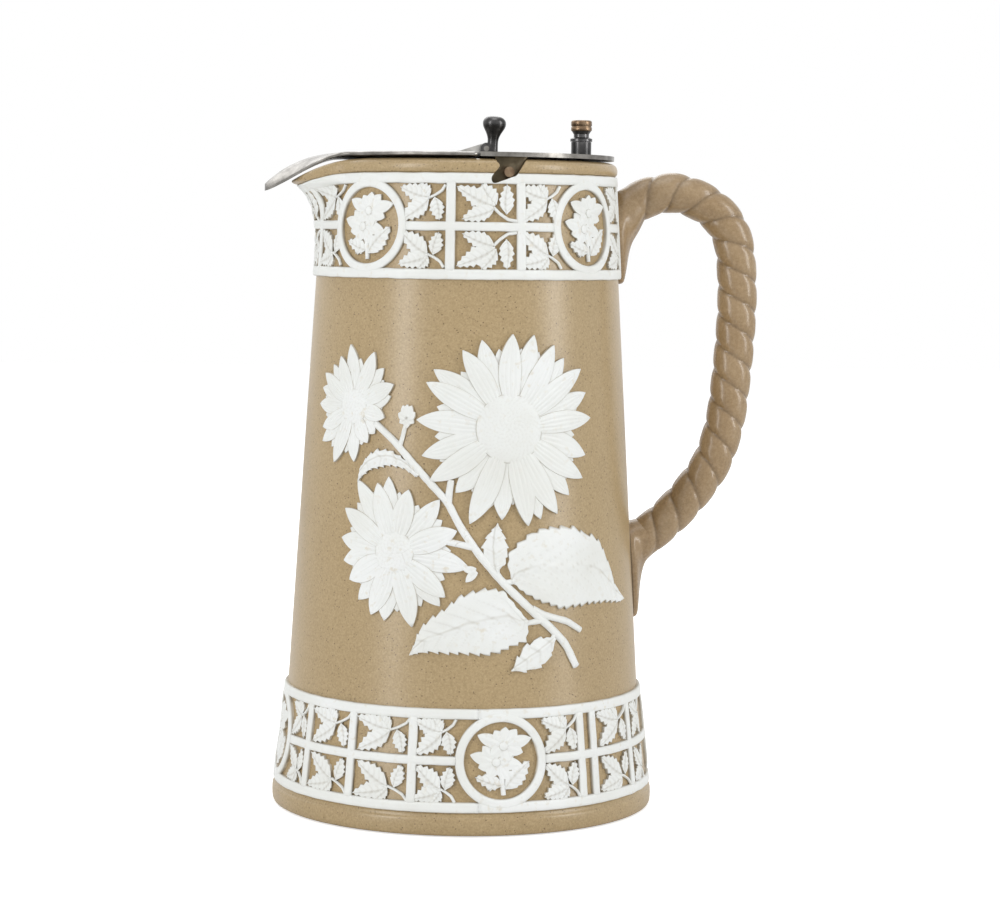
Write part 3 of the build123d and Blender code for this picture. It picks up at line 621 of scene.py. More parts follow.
LEAVES = {
    "broad_leaf": ([(10.7, 78.7), (8.9, 84.7), (9.6, 88.4), (12.6, 91.2), (17.5, 94.5), (22.3, 95.9),
                    (28.9, 95.9), (34.1, 95.7), (38.3, 93.5), (42.7, 92.6), (46.6, 90.1), (49, 86.4),
                    (52.4, 81.3), (54, 76.6), (61.2, 70)],
                   [(10.7, 78.7), (13.9, 75.5), (19.3, 72.3), (23.6, 70.7), (28.1, 69.2), (33.8, 69.5),
                    (40.1, 69.9), (47.3, 69.9), (57.7, 68.8), (61.2, 70)], 17, 10),
    "long_leaf": ([(16.1, 66.4), (7.6, 76.9), (2.4, 77.3), (-2.4, 76.3), (-6.8, 74.7), (-9.6, 72.2),
                   (-16.9, 66.7), (-19.4, 63.8), (-22, 55.5)],
                  [(16.1, 66.4), (16.1, 62.3), (15.4, 59.5), (11.7, 58.4), (6.9, 56.5), (2.1, 55.5),
                   (-2.8, 55.8), (-10.3, 56), (-15.6, 56.3), (-22, 55.5)], 14, 8),
    "curled_leaf": ([(-20.1, 111.8), (-24.5, 116), (-27.4, 117.7), (-31.2, 119.5), (-36.7, 119.4),
                     (-40.3, 117.2), (-43.4, 112.9), (-43.5, 108.5)],
                    [(-20.1, 111.8), (-21.1, 110.5), (-25.8, 113.1), (-31, 113.8), (-38.3, 112.2),
                     (-42.3, 109.5), (-43.5, 108.5)], 11, 5),
    "low_leaf": ([(25.6, 60.6), (22.0, 61.8), (17.6, 61.0), (14.0, 58.6), (11.8, 55.0), (10.2, 51.0)],
                 [(25.6, 60.6), (25.0, 56.2), (22.2, 52.2), (18.6, 50.8), (14.6, 50.2),
                  (10.2, 51.0)], 4, 4),
    "upright_leaf": ([(5.9, 81.9), (1.6, 84.6), (0.4, 89.7), (2.2, 93.4), (5.9, 97.2)],
                     [(5.9, 81.9), (9.0, 84.6), (9.8, 89.2), (8.4, 93.4), (5.9, 97.2)], 6, 4),
}
for name, (upper, lower, teeth, veins) in LEAVES.items():
    leaf = Clay()
    blade(leaf, upper, lower, teeth, veins, tooth=0.8 if name == "upright_leaf" else 1.3)
    leaf.again()
    leaf.done(name, name)


def stalk(clay, line, width, top):
    """A half round stem that follows a line of angle and height and thins out to its end."""
    smooth = resampled(line, 12 * len(line))
    for _ in range(6):
        inner = [((a[0] + 2 * b[0] + c[0]) / 4, (a[1] + 2 * b[1] + c[1]) / 4)
                 for a, b, c in zip(smooth, smooth[1:], smooth[2:])]
        smooth = [smooth[0]] + inner + [smooth[-1]]
    reach = wall_radius(line[0][1]) + RELIEF
    rows = []
    for k, (angle, z) in enumerate(smooth):
        before, after = smooth[max(k - 1, 0)], smooth[min(k + 1, len(smooth) - 1)]
        run_u, run_v = radians(after[0] - before[0]) * reach, after[1] - before[1]
        run = hypot(run_u, run_v)
        s = k / (len(smooth) - 1)
        half = width / 2 * (1 - 0.12 * s) * (1 + 0.1 * noise.noise((angle * 0.5, z * 0.5, 0)))
        row = []
        for column in range(9):
            c = column / 4 - 1
            u, v = -run_v / run * half * c, run_u / run * half * c
            row.append((angle + degrees(u / reach), z + v, top * (0.3 + 0.7 * sqrt(1 - 0.96 * c * c))))
        rows.append(row)
    clay.grid(rows)


stems = Clay()
STEMS = (
    ([(33.6, 51.2), (29.7, 58.4), (24.5, 63.5), (16.5, 70.4), (8.4, 77.8), (0.4, 86.6), (-6.2, 95.6),
      (-10.7, 103.6), (-20.2, 112.7), (-29.5, 121.7), (-37.6, 127.3)], 2.7, 1.15),
    ([(17.5, 70.2), (21.8, 68.0), (30.4, 65.6), (35.8, 62.5)], 2.3, 1.1),
    ([(-10.4, 103.2), (-10.2, 106.2), (-9.6, 110.4)], 2.4, 1.1),
    ([(-28.0, 119.6), (-26.9, 122.6), (-25.8, 127.2)], 1.6, 1.0),
    ([(-2.2, 89.6), (-6.2, 90.4), (-11.0, 91.3)], 2.2, 1.1),
    ([(6.4, 79.4), (6.0, 81.0), (5.9, 83.6)], 1.5, 1.0),
    ([(7.2, 78.9), (9.0, 78.6), (12.4, 79.0)], 1.9, 1.1),
    ([(21.4, 66.4), (17.6, 66.0), (14.2, 65.6)], 1.9, 1.1),
    ([(25.8, 62.2), (24.6, 60.6), (22.6, 58.8)], 1.5, 1.0),
    ([(-19.0, 111.6), (-20.4, 112.0), (-22.4, 113.2)], 1.5, 1.0))
for line, width, top in STEMS:
    stalk(stems, line, width, top)
petal(stems, (-0.9, 82.4), 0.2, -3.4, -3.6, 2.6, 1.0, 0, 1)
petal(stems, (-0.9, 82.4), 0.2, -4.4, 0.4, 2.4, 1.0, 0, 1)
stems.again()
stems.done("sprig_stems", "sprig_stems")

# The two trellis bands
# Flat white rails and bars with rounded edges, round medallion frames, a bunch of flowers in each frame
# and a spray of toothed leaves in the upper and lower half of every cell.
BAND = 33.0
RAIL = 3.3
MIDDLE_RAIL = 2.9
BAR = 3.2
RING_OUTER = 14.8
RING_WIDTH = 2.9
# Across a rail, bar or frame: share of its width, share of the relief, and painted shade, grey along both
# edges.
ACROSS = ((0.0, 0.5, 0.9), (0.05, 0.82, 0.3), (0.16, 1.0, 0), (0.36, 1.02, 0),
          (0.64, 1.02, 0), (0.84, 1.0, 0), (0.95, 0.82, 0.3), (1.0, 0.5, 0.9))
UPPER_LOW = NECK_HEIGHT - BAND
LOWER_LOW = 7.3
LOWER_BAND = 32.1


def level(height):
    """A line that keeps one height all round."""
    return lambda angle: height


def strip(clay, angles, low, high, top):
    """A level rail between two heights, which may change with the angle."""
    rows = []
    for angle in angles:
        wave = 0.16 * noise.noise((angle * 0.22, low(angle) * 0.3, 1.0))
        z0, z1 = low(angle) + wave, high(angle) + wave * 0.7
        rows.append([(angle, z0 + (z1 - z0) * share, top * thick, painted_shade) for share, thick, painted_shade in ACROSS])
    clay.grid(rows)


def post(clay, angle, low, high, width, top):
    """An upright bar."""
    reach = wall_radius(low) + RELIEF
    rows = []
    for step in range(15):
        z = low + (high - low) * step / 14
        middle = angle + degrees(0.14 * noise.noise((z * 0.2, angle, 2.0)) / reach)
        rows.append([(middle + degrees(width * (share - 0.5) / reach), z, top * thick, painted_shade)
                     for share, thick, painted_shade in ACROSS])
    clay.grid(rows)


def circle(angle, z, radius, count):
    """Points on a circle laid on the wall."""
    turns = [2 * pi * k / count for k in range(count)]
    return [around(angle, z, radius * cos(turn), radius * sin(turn)) for turn in turns]


def ring(clay, angle, z, outer, width, top):
    """A round frame."""
    rows = []
    for share, thick, painted_shade in ACROSS:
        spots = circle(angle, z, outer - width + width * share, 96)
        rows.append([spot + (top * thick, painted_shade) for spot in spots])
    clay.grid(rows, closed=True)


def small_leaf(clay, angle, z, base, tip, width, top, teeth=5):
    """A small toothed leaf, its base and tip measured from a centre."""
    (bu, bv), (tu, tv) = base, tip
    length = hypot(tu - bu, tv - bv)
    along = ((tu - bu) / length, (tv - bv) / length)
    rib_side = 0.2
    rows = []
    for step in range(31):
        s = step / 30
        notch = (s * teeth) % 1.0
        half = max(width / 2 * sin(pi * s**0.72), 0.1)
        row = []
        for c in (-1, -0.9, -0.7, -0.45, -0.2, 0, rib_side, 0.45, 0.7, 0.9, 1):
            side = c * half * (1 - 0.34 * notch * abs(c) ** 3 if 0.04 < s < 0.97 else 1.0)
            run = length * s + 0.9 * (1 - notch) * abs(c) ** 3 * (half > 0.5)
            vein = exp(-((((s * teeth - abs(c) * 0.9) % 1.0) - 0.5) / 0.16) ** 2) * (1 - abs(c) ** 3)
            thick = top * (0.8 + 0.2 * (1 - abs(c) ** 3)) + 0.18 * exp(-(c / 0.16) ** 2) - 0.14 * vein
            # Painted shade: grey along the edges, in the veins and along one side of the midrib.
            painted_shade = 1.0 if abs(c) > 0.95 else 0.35 * vein + 0.45 * (c == rib_side)
            u = bu + along[0] * run - along[1] * side
            v = bv + along[1] * run + along[0] * side
            row.append(around(angle, z, u, v) + (thick, painted_shade))
        rows.append(row)
    clay.grid(rows)


def thin_stem(clay, angle, z, line, width, top):
    """A small stem, its points measured from a centre."""
    stalk(clay, [around(angle, z, u, v) for u, v in line], width, top)


def corner_spray(clay, angle, z, width, up, small):
    """Leaves on a stem that comes from the far corner of a cell, mirrored below the middle rail."""
    half = width / 2
    leaves_here = (
        ((half * 0.4, up * 1.6), (-half * 1.02, up * 4.6), 6.2, 1.04, 6),
        ((half * 0.36, up * 1.4), (-half * 0.1, up * 5.9), 5.0, 0.98, 5),
        ((half * 0.36, up * 1.2), (-half * 0.9, -up * 5.6), 6.8, 1.12, 6),
        ((half * 0.6, up * 1.6), (half * 0.84, -up * 5.6), 5.2, 1.05, 5))
    for base, tip, broad, top, teeth in leaves_here:
        small_leaf(clay, angle, z, base, tip, broad * small, top, teeth)
    line = [(half * 1.08, up * 5.4), (half * 0.92, up * 3.6), (half * 0.62, up * 2.2),
            (half * 0.3, up * 1.2)]
    thin_stem(clay, angle, z, line, 1.0, 1.05)


def middle_spray(clay, angle, z, width, up):
    """Leaves on a stem that comes from the middle rail of a wide cell."""
    half = width / 2
    leaves_here = (
        ((half * 0.3, -up * 1.0), (-half * 0.98, up * 4.9), 7.2, 1.04, 7),
        ((half * 0.34, -up * 0.6), (-half * 0.16, up * 5.9), 6.0, 0.98, 5),
        ((half * 0.28, -up * 1.6), (-half * 0.8, -up * 5.2), 6.0, 1.12, 6),
        ((half * 0.68, -up * 3.6), (half * 0.7, up * 5.8), 5.4, 1.06, 5))
    for base, tip, broad, top, teeth in leaves_here:
        small_leaf(clay, angle, z, base, tip, broad, top, teeth)
    line = [(half * 1.04, -up * 5.6), (half * 0.74, -up * 5.2), (half * 0.46, -up * 3.4),
            (half * 0.24, -up * 1.4)]
    thin_stem(clay, angle, z, line, 1.1, 1.05)


def bouquet(clay, angle, z):
    """Two pointed blossoms over three leaves and a stalk, inside a round frame."""
    small_leaf(clay, angle, z, (1.0, -8.8), (9.0, -0.4), 6.6, 1.0, 6)
    small_leaf(clay, angle, z, (0.4, -7.6), (-8.4, -5.0), 5.0, 0.95, 5)
    small_leaf(clay, angle, z, (0.2, -6.0), (-4.6, -9.0), 3.0, 0.85, 4)
    thin_stem(clay, angle, z, [(-0.8, -2.0), (0.2, -6.4), (0.5, -10.6)], 1.8, 1.05)
    lower_tips = ((-10.0, 1.9), (-7.4, -2.0), (-4.2, -5.2), (2.2, -5.8), (6.6, -1.4), (4.4, 3.0),
                  (-6.0, 4.6))
    upper_tips = ((-7.6, 8.0), (-2.2, 9.4), (1.4, 10.4), (5.0, 9.6), (9.8, 6.8), (6.8, 2.4),
                  (2.0, -0.6), (-3.6, 1.4))
    for (cu, cv), top, tips in (((-1.8, -0.4), 0.92, lower_tips), ((0.6, 4.6), 1.1, upper_tips)):
        centre = around(angle, z, cu, cv)
        for tu, tv in tips:
            petal(clay, centre, 0.5, tu - cu, tv - cv, 4.2, top, 0, 2)
        dome = []
        for r in (0.0, 0.35, 0.7, 1.0):
            # Each ring of the dome: its thickness, and painted shade round its edge.
            rise = (top + 0.36 - 0.3 * r * r, 0.5 * (r > 0.9))
            dome.append([spot + rise for spot in circle(centre[0], centre[1], 1.5 * r, 16)])
        clay.grid(dome, closed=True)


def sweep(start, end, step=1.5):
    """Angles from start to end."""
    count = max(2, int(round((end - start) / step)) + 1)
    return [start + (end - start) * k / (count - 1) for k in range(count)]


upper_middle = UPPER_LOW + BAND / 2
lower_middle = LOWER_LOW + LOWER_BAND / 2
upper_frames = [45, 135, 225, 315]
upper_bars = [turn + side for turn in (0, 180) for side in (-11.4, 14.8)]
upper_bars += [turn + side for turn in (90, 270) for side in (-13, 13)]
lower_frames = [7, 94.5, 187, 274.5]
lower_bars = [-59.8, -40.4, -19.9, 34.0, 39.3, 59.2]
lower_bars += [angle + 180 for angle in lower_bars]


def top_low(angle):
    """Lower edge of the top rail, which follows the rim down into the spout."""
    return line_height(angle, NECK_HEIGHT - RAIL, BEAD_DROP, RELIEF)


def top_high(angle):
    """Upper edge of the top rail, tucked under the rim."""
    return line_height(angle, NECK_HEIGHT, BEAD_DROP, RELIEF) + 0.1


def gaps(starts, half):
    """The stretches between frames, as pairs of angles."""
    ordered = sorted(starts)
    return [(a + half, b - half) for a, b in zip(ordered, ordered[1:] + [ordered[0] + 360])]


HANDLE_GAP = (78.2, 101.8)
middle_low, middle_high = level(upper_middle - MIDDLE_RAIL / 2), level(upper_middle + MIDDLE_RAIL / 2)
upper = Clay()
strip(upper, sweep(103, 437), level(UPPER_LOW), level(UPPER_LOW + RAIL), RELIEF)
strip(upper, sweep(77, 437), top_low, top_high, RELIEF)
frame_half = degrees(RING_OUTER / (wall_radius(upper_middle) + RELIEF)) - 0.4
for a, b in gaps(upper_frames, frame_half):
    stretches = ((a, HANDLE_GAP[0]), (HANDLE_GAP[1], b)) if a < 90 < b else ((a, b),)
    for start, end in stretches:
        strip(upper, sweep(start, end), middle_low, middle_high, RELIEF * 0.98)
for angle in upper_bars:
    post(upper, angle, UPPER_LOW + 2, top_low(angle) + 1, BAR, RELIEF * 0.97)
band = upper.done("upper_band", "upper_band")
cut_out(band, [SLOT], -FLANK_OUTER, -FLANK_INNER)
cut_out(band, [SLOT], FLANK_INNER, FLANK_OUTER)

lower_top = LOWER_LOW + LOWER_BAND
middle_low, middle_high = level(lower_middle - MIDDLE_RAIL / 2), level(lower_middle + MIDDLE_RAIL / 2)
lower = Clay()
strip(lower, sweep(0, 360), level(LOWER_LOW), level(LOWER_LOW + RAIL), RELIEF)
strip(lower, sweep(0, 360), level(lower_top - RAIL), level(lower_top - 0.01), RELIEF)
frame_half = degrees(RING_OUTER / (wall_radius(lower_middle) + RELIEF)) - 0.4
for a, b in gaps(lower_frames, frame_half):
    strip(lower, sweep(a, b), middle_low, middle_high, RELIEF * 0.98)
for angle in lower_bars:
    post(lower, angle, LOWER_LOW + 2, lower_top - 2, BAR, RELIEF * 0.97)
lower.done("lower_band", "lower_band")

for name, frames, middle in (("upper", upper_frames, upper_middle), ("lower", lower_frames, lower_middle)):
    rings = Clay()
    flowers = Clay()
    for angle in frames:
        ring(rings, angle, middle, RING_OUTER, RING_WIDTH, RELIEF * 1.1)
        bouquet(flowers, angle, middle)
    rings.done(name + "_medallion_rings", name + "_medallion_rings")
    flowers.done(name + "_medallion_flowers", name + "_medallion_flowers")

CELL = 7.4
leaves = Clay()
for turn, shift in ((0, 1.6), (180, 1.6), (270, 0)):
    for up in (-1, 1):
        step_down = 0.8 if turn == 270 and up > 0 else 0.0
        middle_spray(leaves, turn + shift, upper_middle + up * CELL - step_down, 19.0, up)
for turn in (0, 90, 180, 270):
    for side in (-1, 1):
        for up in (-1, 1):
            corner_spray(leaves, turn + side * 22.4, upper_middle + up * CELL, 14.2, up, 1.0)
leaves.done("upper_band_leaves", "upper_band_leaves")

# Each lower cell by the angle of its middle and its width.
LOWER_CELLS = ((-66.6, 10.0), (-50.0, 17.0), (-30.2, 18.0), (-13.2, 12.4),
               (26.2, 12.8), (49.2, 17.0), (65.8, 9.5))
leaves = Clay()
for turn in (0, 180):
    for angle, width in LOWER_CELLS:
        for up in (-1, 1):
            small = 1.0 if width > 11 else 0.8
            corner_spray(leaves, turn + angle, lower_middle + up * CELL, width, up, small)
leaves.done("lower_band_leaves", "lower_band_leaves")

# The rope handle
# Two rolls of clay twisted to the left, with a crease between them, bent in a hook from the
# shoulder to the lower wall.
# At both ends the roll flares into a leaf shape that is pressed flat on the pot.
ROPE_RADIUS = 6.55
GROOVE = 0.85
LEAD = 18.8
ROPE_POINTS = [(46.6, 191.2), (51.5, 195.0), (57.2, 198.4), (62.0, 200.0), (69.8, 200.7), (80.5, 196.0),
               (87.5, 186.9), (89.5, 171.9), (89.3, 155.95), (87.9, 138.0), (86.1, 124.5), (82.1, 112.0),
               (75.0, 101.5), (65.5, 91.5), (53.5, 82.6)]

# The same stoneware rubbed browner and glossier by hands, with painted shade in the creases and where the
# roots meet the wall.
handle_clay, tree, shader, coords = new_material("brown_stoneware")
broad = cloud(tree, coords, 90.0, 5.0)
handle_stops = [(0.3, colour("#927A59")), (0.5, colour("#9B8362")), (0.7, colour("#A48D6D"))]
handle_colour = ramp(tree, broad, handle_stops)
grain = cloud(tree, coords, 1000.0, 3.0, 0.7)
grit_stops = [(0.35, colour("#71593C")), (0.5, colour("#957C5B")), (0.68, colour("#B8A180"))]
handle_colour = mix(tree, 0.25, handle_colour, ramp(tree, grain, grit_stops))
# Painted shade: each point's shade value darkens the crease and the roots' ends.
handle_shade_node = add(tree, "ShaderNodeAttribute", {"attribute_name": "painted_shade"})
handle_colour = mix(tree, handle_shade_node.outputs["Fac"], handle_colour, colour("#5A4832"))
tree.links.new(handle_colour, shader.inputs["Base Color"])
shader.inputs["Roughness"].default_value = 0.27
bump = add(tree, "ShaderNodeBump", {"Strength": 0.15, "Distance": 0.0002}, {"Height": broad})
tree.links.new(bump.outputs["Normal"], shader.inputs["Normal"])


def spline(line, count):
    """A smooth line through points, as evenly spaced points with their headings."""
    total = len(line)
    dense = []
    for k in range(total - 1):
        b, c = Vector(line[k]), Vector(line[k + 1])
        a = Vector(line[k - 1]) if k else 2 * b - c
        d = Vector(line[k + 2]) if k + 2 < total else 2 * c - b
        dense += [through(a, b, c, d, step / 30) for step in range(30)]
    dense.append(Vector(line[-1]))
    for _ in range(40):
        inner = [(a + 2 * b + c) / 4 for a, b, c in zip(dense, dense[1:], dense[2:])]
        dense = [dense[0]] + inner + [dense[-1]]
    lengths = [0.0]
    for a, b in zip(dense, dense[1:]):
        lengths.append(lengths[-1] + (b - a).length)
    made = []
    k = 0
    for step in range(count):
        goal = lengths[-1] * step / (count - 1)
        while k < len(dense) - 2 and lengths[k + 1] < goal:
            k += 1
        t = (goal - lengths[k]) / max(lengths[k + 1] - lengths[k], 1e-9)
        here = dense[k].lerp(dense[k + 1], t)
        made.append((here, (dense[k + 1] - dense[k]).normalized()))
    return made, lengths[-1]


STEPS = 350
AROUND = 72
route, rope_length = spline([(x, 0, z) for x, z in ROPE_POINTS], STEPS)


def rope_point(k, column):
    """A point of the rope's skin at a step of its way and a place round it, with the painted shade of the
    crease.
    """
    here, heading = route[k]
    side = Vector((0, 1, 0))
    a = 2 * pi * column / AROUND
    turn = -2 * pi * (rope_length * k / (STEPS - 1)) / LEAD + 1.5
    share = abs(((a - turn) % pi) / (pi / 2) - 1)
    radius = ROPE_RADIUS - GROOVE * share**3.2
    # The second value is painted shade, deepest in the crease.
    return here + side * (radius * cos(a)) + heading.cross(side) * (radius * sin(a)), 0.55 * share**9


spots = [rope_point(k, column) for k in range(STEPS) for column in range(AROUND)]
faces = [face[::-1] for face in lathe_faces(STEPS, AROUND)]
faces.append(tuple(range(AROUND)))
faces.append(tuple(range(len(spots) - 1, len(spots) - AROUND - 1, -1)))
points = [spot for spot, _ in spots]
rope = build("rope_handle", points, faces, [handle_clay], None, [shade_amount for _, shade_amount in spots])
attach(rope, "root")
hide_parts("rope_handle")


# How a root runs in from rope to wall: share of the way along the wall, and share of the rope's reach left.
UPPER_PROFILE = ((0.0, 1.0), (0.1, 0.9), (0.2, 0.79), (0.36, 0.59), (0.52, 0.48), (0.71, 0.4),
                 (0.9, 0.31), (0.98, 0.22), (1.0, 0.0))
LOWER_PROFILE = ((0.0, 1.0), (0.08, 0.77), (0.18, 0.56), (0.35, 0.43), (0.55, 0.35), (0.81, 0.28),
                 (0.96, 0.21), (1.0, 0.0))
ROOT_ROWS = 34
ROOT_HALF_WIDTH = 9.2
ROOT_SEAT = 0.15


def handle_root(name, at, middle, above, below, profile):
    """The flare from the rope to a leaf shape that hugs the wall, its creases carried on and fading."""
    shares = [spot for spot, _ in spline([Vector((x, y, 0)) for x, y in profile], ROOT_ROWS)[0]]
    made = []
    painted_shades = []
    centre = route[at][0]
    for row, share in enumerate(shares):
        for column in range(AROUND):
            begin, shade_amount = rope_point(at, column)
            s, c = (begin.z - centre.z) / (ROPE_RADIUS * 1.02), begin.y / ROPE_RADIUS
            size = max(sqrt(s * s + c * c), 0.001)
            s, c = s / size, c / size
            y = ROOT_HALF_WIDTH * c * (1 - 0.42 * s * s if s < 0 else 1 - 0.1 * s)
            z = middle + s * (above if s > 0 else below)
            run = share.x if s <= 0 else share.x + (1 - share.y - share.x) * 0.9 * s
            y = begin.y + (y - begin.y) * run
            z = begin.z + (z - begin.z) * run
            wall = sqrt((wall_radius(z) - ROOT_SEAT) ** 2 - y**2)
            made.append((wall + (begin.x - wall) * share.y, y, z))
            # Painted shade: full at the last rings, where the root meets the wall, and the crease's shade
            # fading out along the root.
            painted_shades.append(1.0 if row > ROOT_ROWS - 3 else shade_amount * (1 - share.x) ** 2)
    piece = build(name, made, lathe_faces(ROOT_ROWS, AROUND), [handle_clay], None, painted_shades)
    tidy = bmesh.new()
    tidy.from_mesh(piece.data)
    bmesh.ops.recalc_face_normals(tidy, faces=tidy.faces)
    tidy.faces.ensure_lookup_table()
    flank = tidy.faces[ROOT_ROWS // 2 * AROUND]
    if flank.normal.y * flank.calc_center_median().y < 0:
        bmesh.ops.reverse_faces(tidy, faces=tidy.faces)
    tidy.to_mesh(piece.data)
    tidy.free()
    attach(piece, "root")
    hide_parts(name)


handle_root("upper_handle_root", 22, 188.0, 12.2, 17.4, UPPER_PROFILE)
handle_root("lower_handle_root", STEPS - 20, 84.0, 8.4, 23.9, LOWER_PROFILE)

# The pewter cover
# A worn pewter plate in two halves: the rear one is fixed, the front one swings up on a small hinge.
# The front half ends in a crowned tongue that bends down over the spout and is thin at its edge.
COVER_LOW = 210.7
COVER_TOP = 212.1
COVER_RADIUS = 47.4
# The tongue by distance from the axis, half width and crown.
TONGUE = [(40.0, 25.43, 0.0), (43.0, 23.6, 0.3), (46.05, 20.6, 0.95), (49.0, 18.0, 1.75), (52.1, 15.5, 2.6),
          (55.0, 13.1, 3.3), (57.9, 10.9, 3.7), (60.4, 8.9, 3.7), (62.9, 6.9, 3.3), (64.8, 5.0, 2.6),
          (65.9, 3.2, 1.9), (66.3, 1.4, 1.6)]
TONGUE_START = 40.0
SPLIT = 1.5
BEND_START = 42.0
BEND_RADIUS = 34.0

# Pewter worn by cleaning: grey with brighter rubbed patches and fine scratches.
pewter, tree, shader, coords = new_material("worn_pewter")
shader.inputs["Metallic"].default_value = 1.0
wear = cloud(tree, coords, 130.0, 6.0, 0.65)
worn_stops = [(0.3, colour("#5E5B57")), (0.5, colour("#85827D")), (0.7, colour("#A19E99"))]
rough_stops = [(0.3, (0.42, 0.42, 0.42, 1)), (0.7, (0.24, 0.24, 0.24, 1))]
tree.links.new(ramp(tree, wear, worn_stops), shader.inputs["Base Color"])
tree.links.new(ramp(tree, wear, rough_stops), shader.inputs["Roughness"])
scratch = cloud(tree, coords, 600.0, 4.0)
bump = add(tree, "ShaderNodeBump", {"Strength": 0.25, "Distance": 0.0001}, {"Height": scratch})
tree.links.new(bump.outputs["Normal"], shader.inputs["Normal"])

# Pale pewter for the tang: a painted highlight for the light its top catches.
highlight_pewter, tree, shader, coords = new_material("painted_highlight_pewter")
shader.inputs["Metallic"].default_value = 0.7
highlight_patches = cloud(tree, coords, 300.0, 4.0)
highlight_colour = ramp(tree, highlight_patches, [(0.3, colour("#B5B3AE")), (0.7, colour("#E2E0DB"))])
tree.links.new(highlight_colour, shader.inputs["Base Color"])
shader.inputs["Roughness"].default_value = 0.32

# Pewter of the lugs painted dark olive brown: painted shade of the deep slot they sit in; dull.
slot_shade_pewter, tree, shader, coords = new_material("shaded_slot_pewter")
shader.inputs["Metallic"].default_value = 0.9
wear = cloud(tree, coords, 200.0, 5.0)
olive_stops = [(0.3, colour("#3A3428")), (0.55, colour("#544B3B")), (0.75, colour("#766C5A"))]
tree.links.new(ramp(tree, wear, olive_stops), shader.inputs["Base Color"])
shader.inputs["Roughness"].default_value = 0.45

# Turned pewter painted dark grey: a painted dark reflection of the unlit surroundings; smooth.
dark_pewter, tree, shader, coords = new_material("dark_pewter")
shader.inputs["Metallic"].default_value = 1.0
wear = cloud(tree, coords, 260.0, 5.0)
grey_stops = [(0.3, colour("#363636")), (0.55, colour("#4E4D4D")), (0.75, colour("#6C6B6B"))]
tree.links.new(ramp(tree, wear, grey_stops), shader.inputs["Base Color"])
shader.inputs["Roughness"].default_value = 0.3

# Brass gone brown and coppery, with rubbed patches.
brass, tree, shader, coords = new_material("coppery_brass")
shader.inputs["Metallic"].default_value = 1.0
wear = cloud(tree, coords, 300.0, 5.0)
copper_stops = [(0.3, colour("#59493B")), (0.5, colour("#7D6853")), (0.72, colour("#A28D74"))]
tree.links.new(ramp(tree, wear, copper_stops), shader.inputs["Base Color"])
shader.inputs["Roughness"].default_value = 0.34

stations = []
for k in range(26):
    x = SPLIT + 38.5 * k / 26
    stations.append((-x, sqrt(COVER_RADIUS**2 - x**2), 0.0))
for k in range(len(TONGUE) - 1):
    a, b, c, d = (Vector(TONGUE[min(max(k + step, 0), len(TONGUE) - 1)]) for step in (-1, 0, 1, 2))
    for step in range(5):
        value = through(a, b, c, d, step / 5)
        stations.append((-value[0], value[1], value[2]))
stations.append((-TONGUE[-1][0], TONGUE[-1][1], TONGUE[-1][2]))
ACROSS_FLAP = 41
EDGE_SHARE = 0.97
EDGE_ROUND = 0.32
THIN_TIP = 0.7
THINNING = 0.028
thickness = COVER_TOP - COVER_LOW
top_rows = []
low_rows = []
for x, half, crown in stations:
    bend = max(0.0, -x - BEND_START)
    crest = COVER_TOP - (BEND_RADIUS - sqrt(BEND_RADIUS**2 - bend**2))
    thin = thickness if x > -TONGUE_START else max(THIN_TIP, thickness - THINNING * (-x - TONGUE_START))
    top_row = []
    low_row = []
    for column in range(ACROSS_FLAP):
        c = sin((column / (ACROSS_FLAP // 2) - 1) * pi / 2)
        z = crest - crown * c * c
        soft = EDGE_ROUND * max(0.0, abs(c) - EDGE_SHARE) / (1 - EDGE_SHARE)
        top_row.append((x, half * c, z - soft))
        low_row.append((x, half * c, z - thin + soft * 0.6))
    top_rows.append(top_row)
    low_rows.append(low_row)
points = [p for row in top_rows for p in row] + [p for row in low_rows for p in row]
faces = []
count = len(stations)
offset = count * ACROSS_FLAP
for r in range(count - 1):
    for k in range(ACROSS_FLAP - 1):
        i = r * ACROSS_FLAP + k
        faces.append((i, i + ACROSS_FLAP, i + ACROSS_FLAP + 1, i + 1))
        faces.append((offset + i, offset + i + 1, offset + i + ACROSS_FLAP + 1, offset + i + ACROSS_FLAP))
    for k, out in ((0, True), (ACROSS_FLAP - 1, False)):
        i = r * ACROSS_FLAP + k
        quad = (i, offset + i, offset + i + ACROSS_FLAP, i + ACROSS_FLAP)
        faces.append(quad if out else quad[::-1])
for r, out in ((0, False), (count - 1, True)):
    for k in range(ACROSS_FLAP - 1):
        i = r * ACROSS_FLAP + k
        quad = (i, offset + i, offset + i + 1, i + 1)
        faces.append(quad[::-1] if out else quad)
flap = build("front_flap", points, faces, [pewter])
face_outwards(flap)
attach(flap, "lid")
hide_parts("front_flap")

# The thumbpiece
# A small pear of pewter on a slim neck, turned in one piece and leaning back a little over the hinge.
KNOB_PROFILE = [(0.0, 212.9), (1.9, 212.9), (1.95, 213.6), (1.8, 215.0), (1.72, 216.4), (1.75, 217.4),
                (2.0, 218.4), (2.5, 219.5), (3.1, 220.5), (3.6, 221.4), (3.83, 222.3), (3.8, 223.1),
                (3.45, 223.9), (2.8, 224.5), (1.9, 224.85), (0.9, 224.98), (0.0, 225.0)]
KNOB_X = 7.5
KNOB_BASE = 212.9
KNOB_LEAN = radians(4.5)
points = []
for radius, z in KNOB_PROFILE:
    for column in range(40):
        a = 2 * pi * column / 40
        x, y, up = max(radius, 0.01) * cos(a), max(radius, 0.01) * sin(a), z - KNOB_BASE
        lean_x = x * cos(KNOB_LEAN) + up * sin(KNOB_LEAN)
        points.append((KNOB_X + lean_x, y, KNOB_BASE + up * cos(KNOB_LEAN) - x * sin(KNOB_LEAN)))
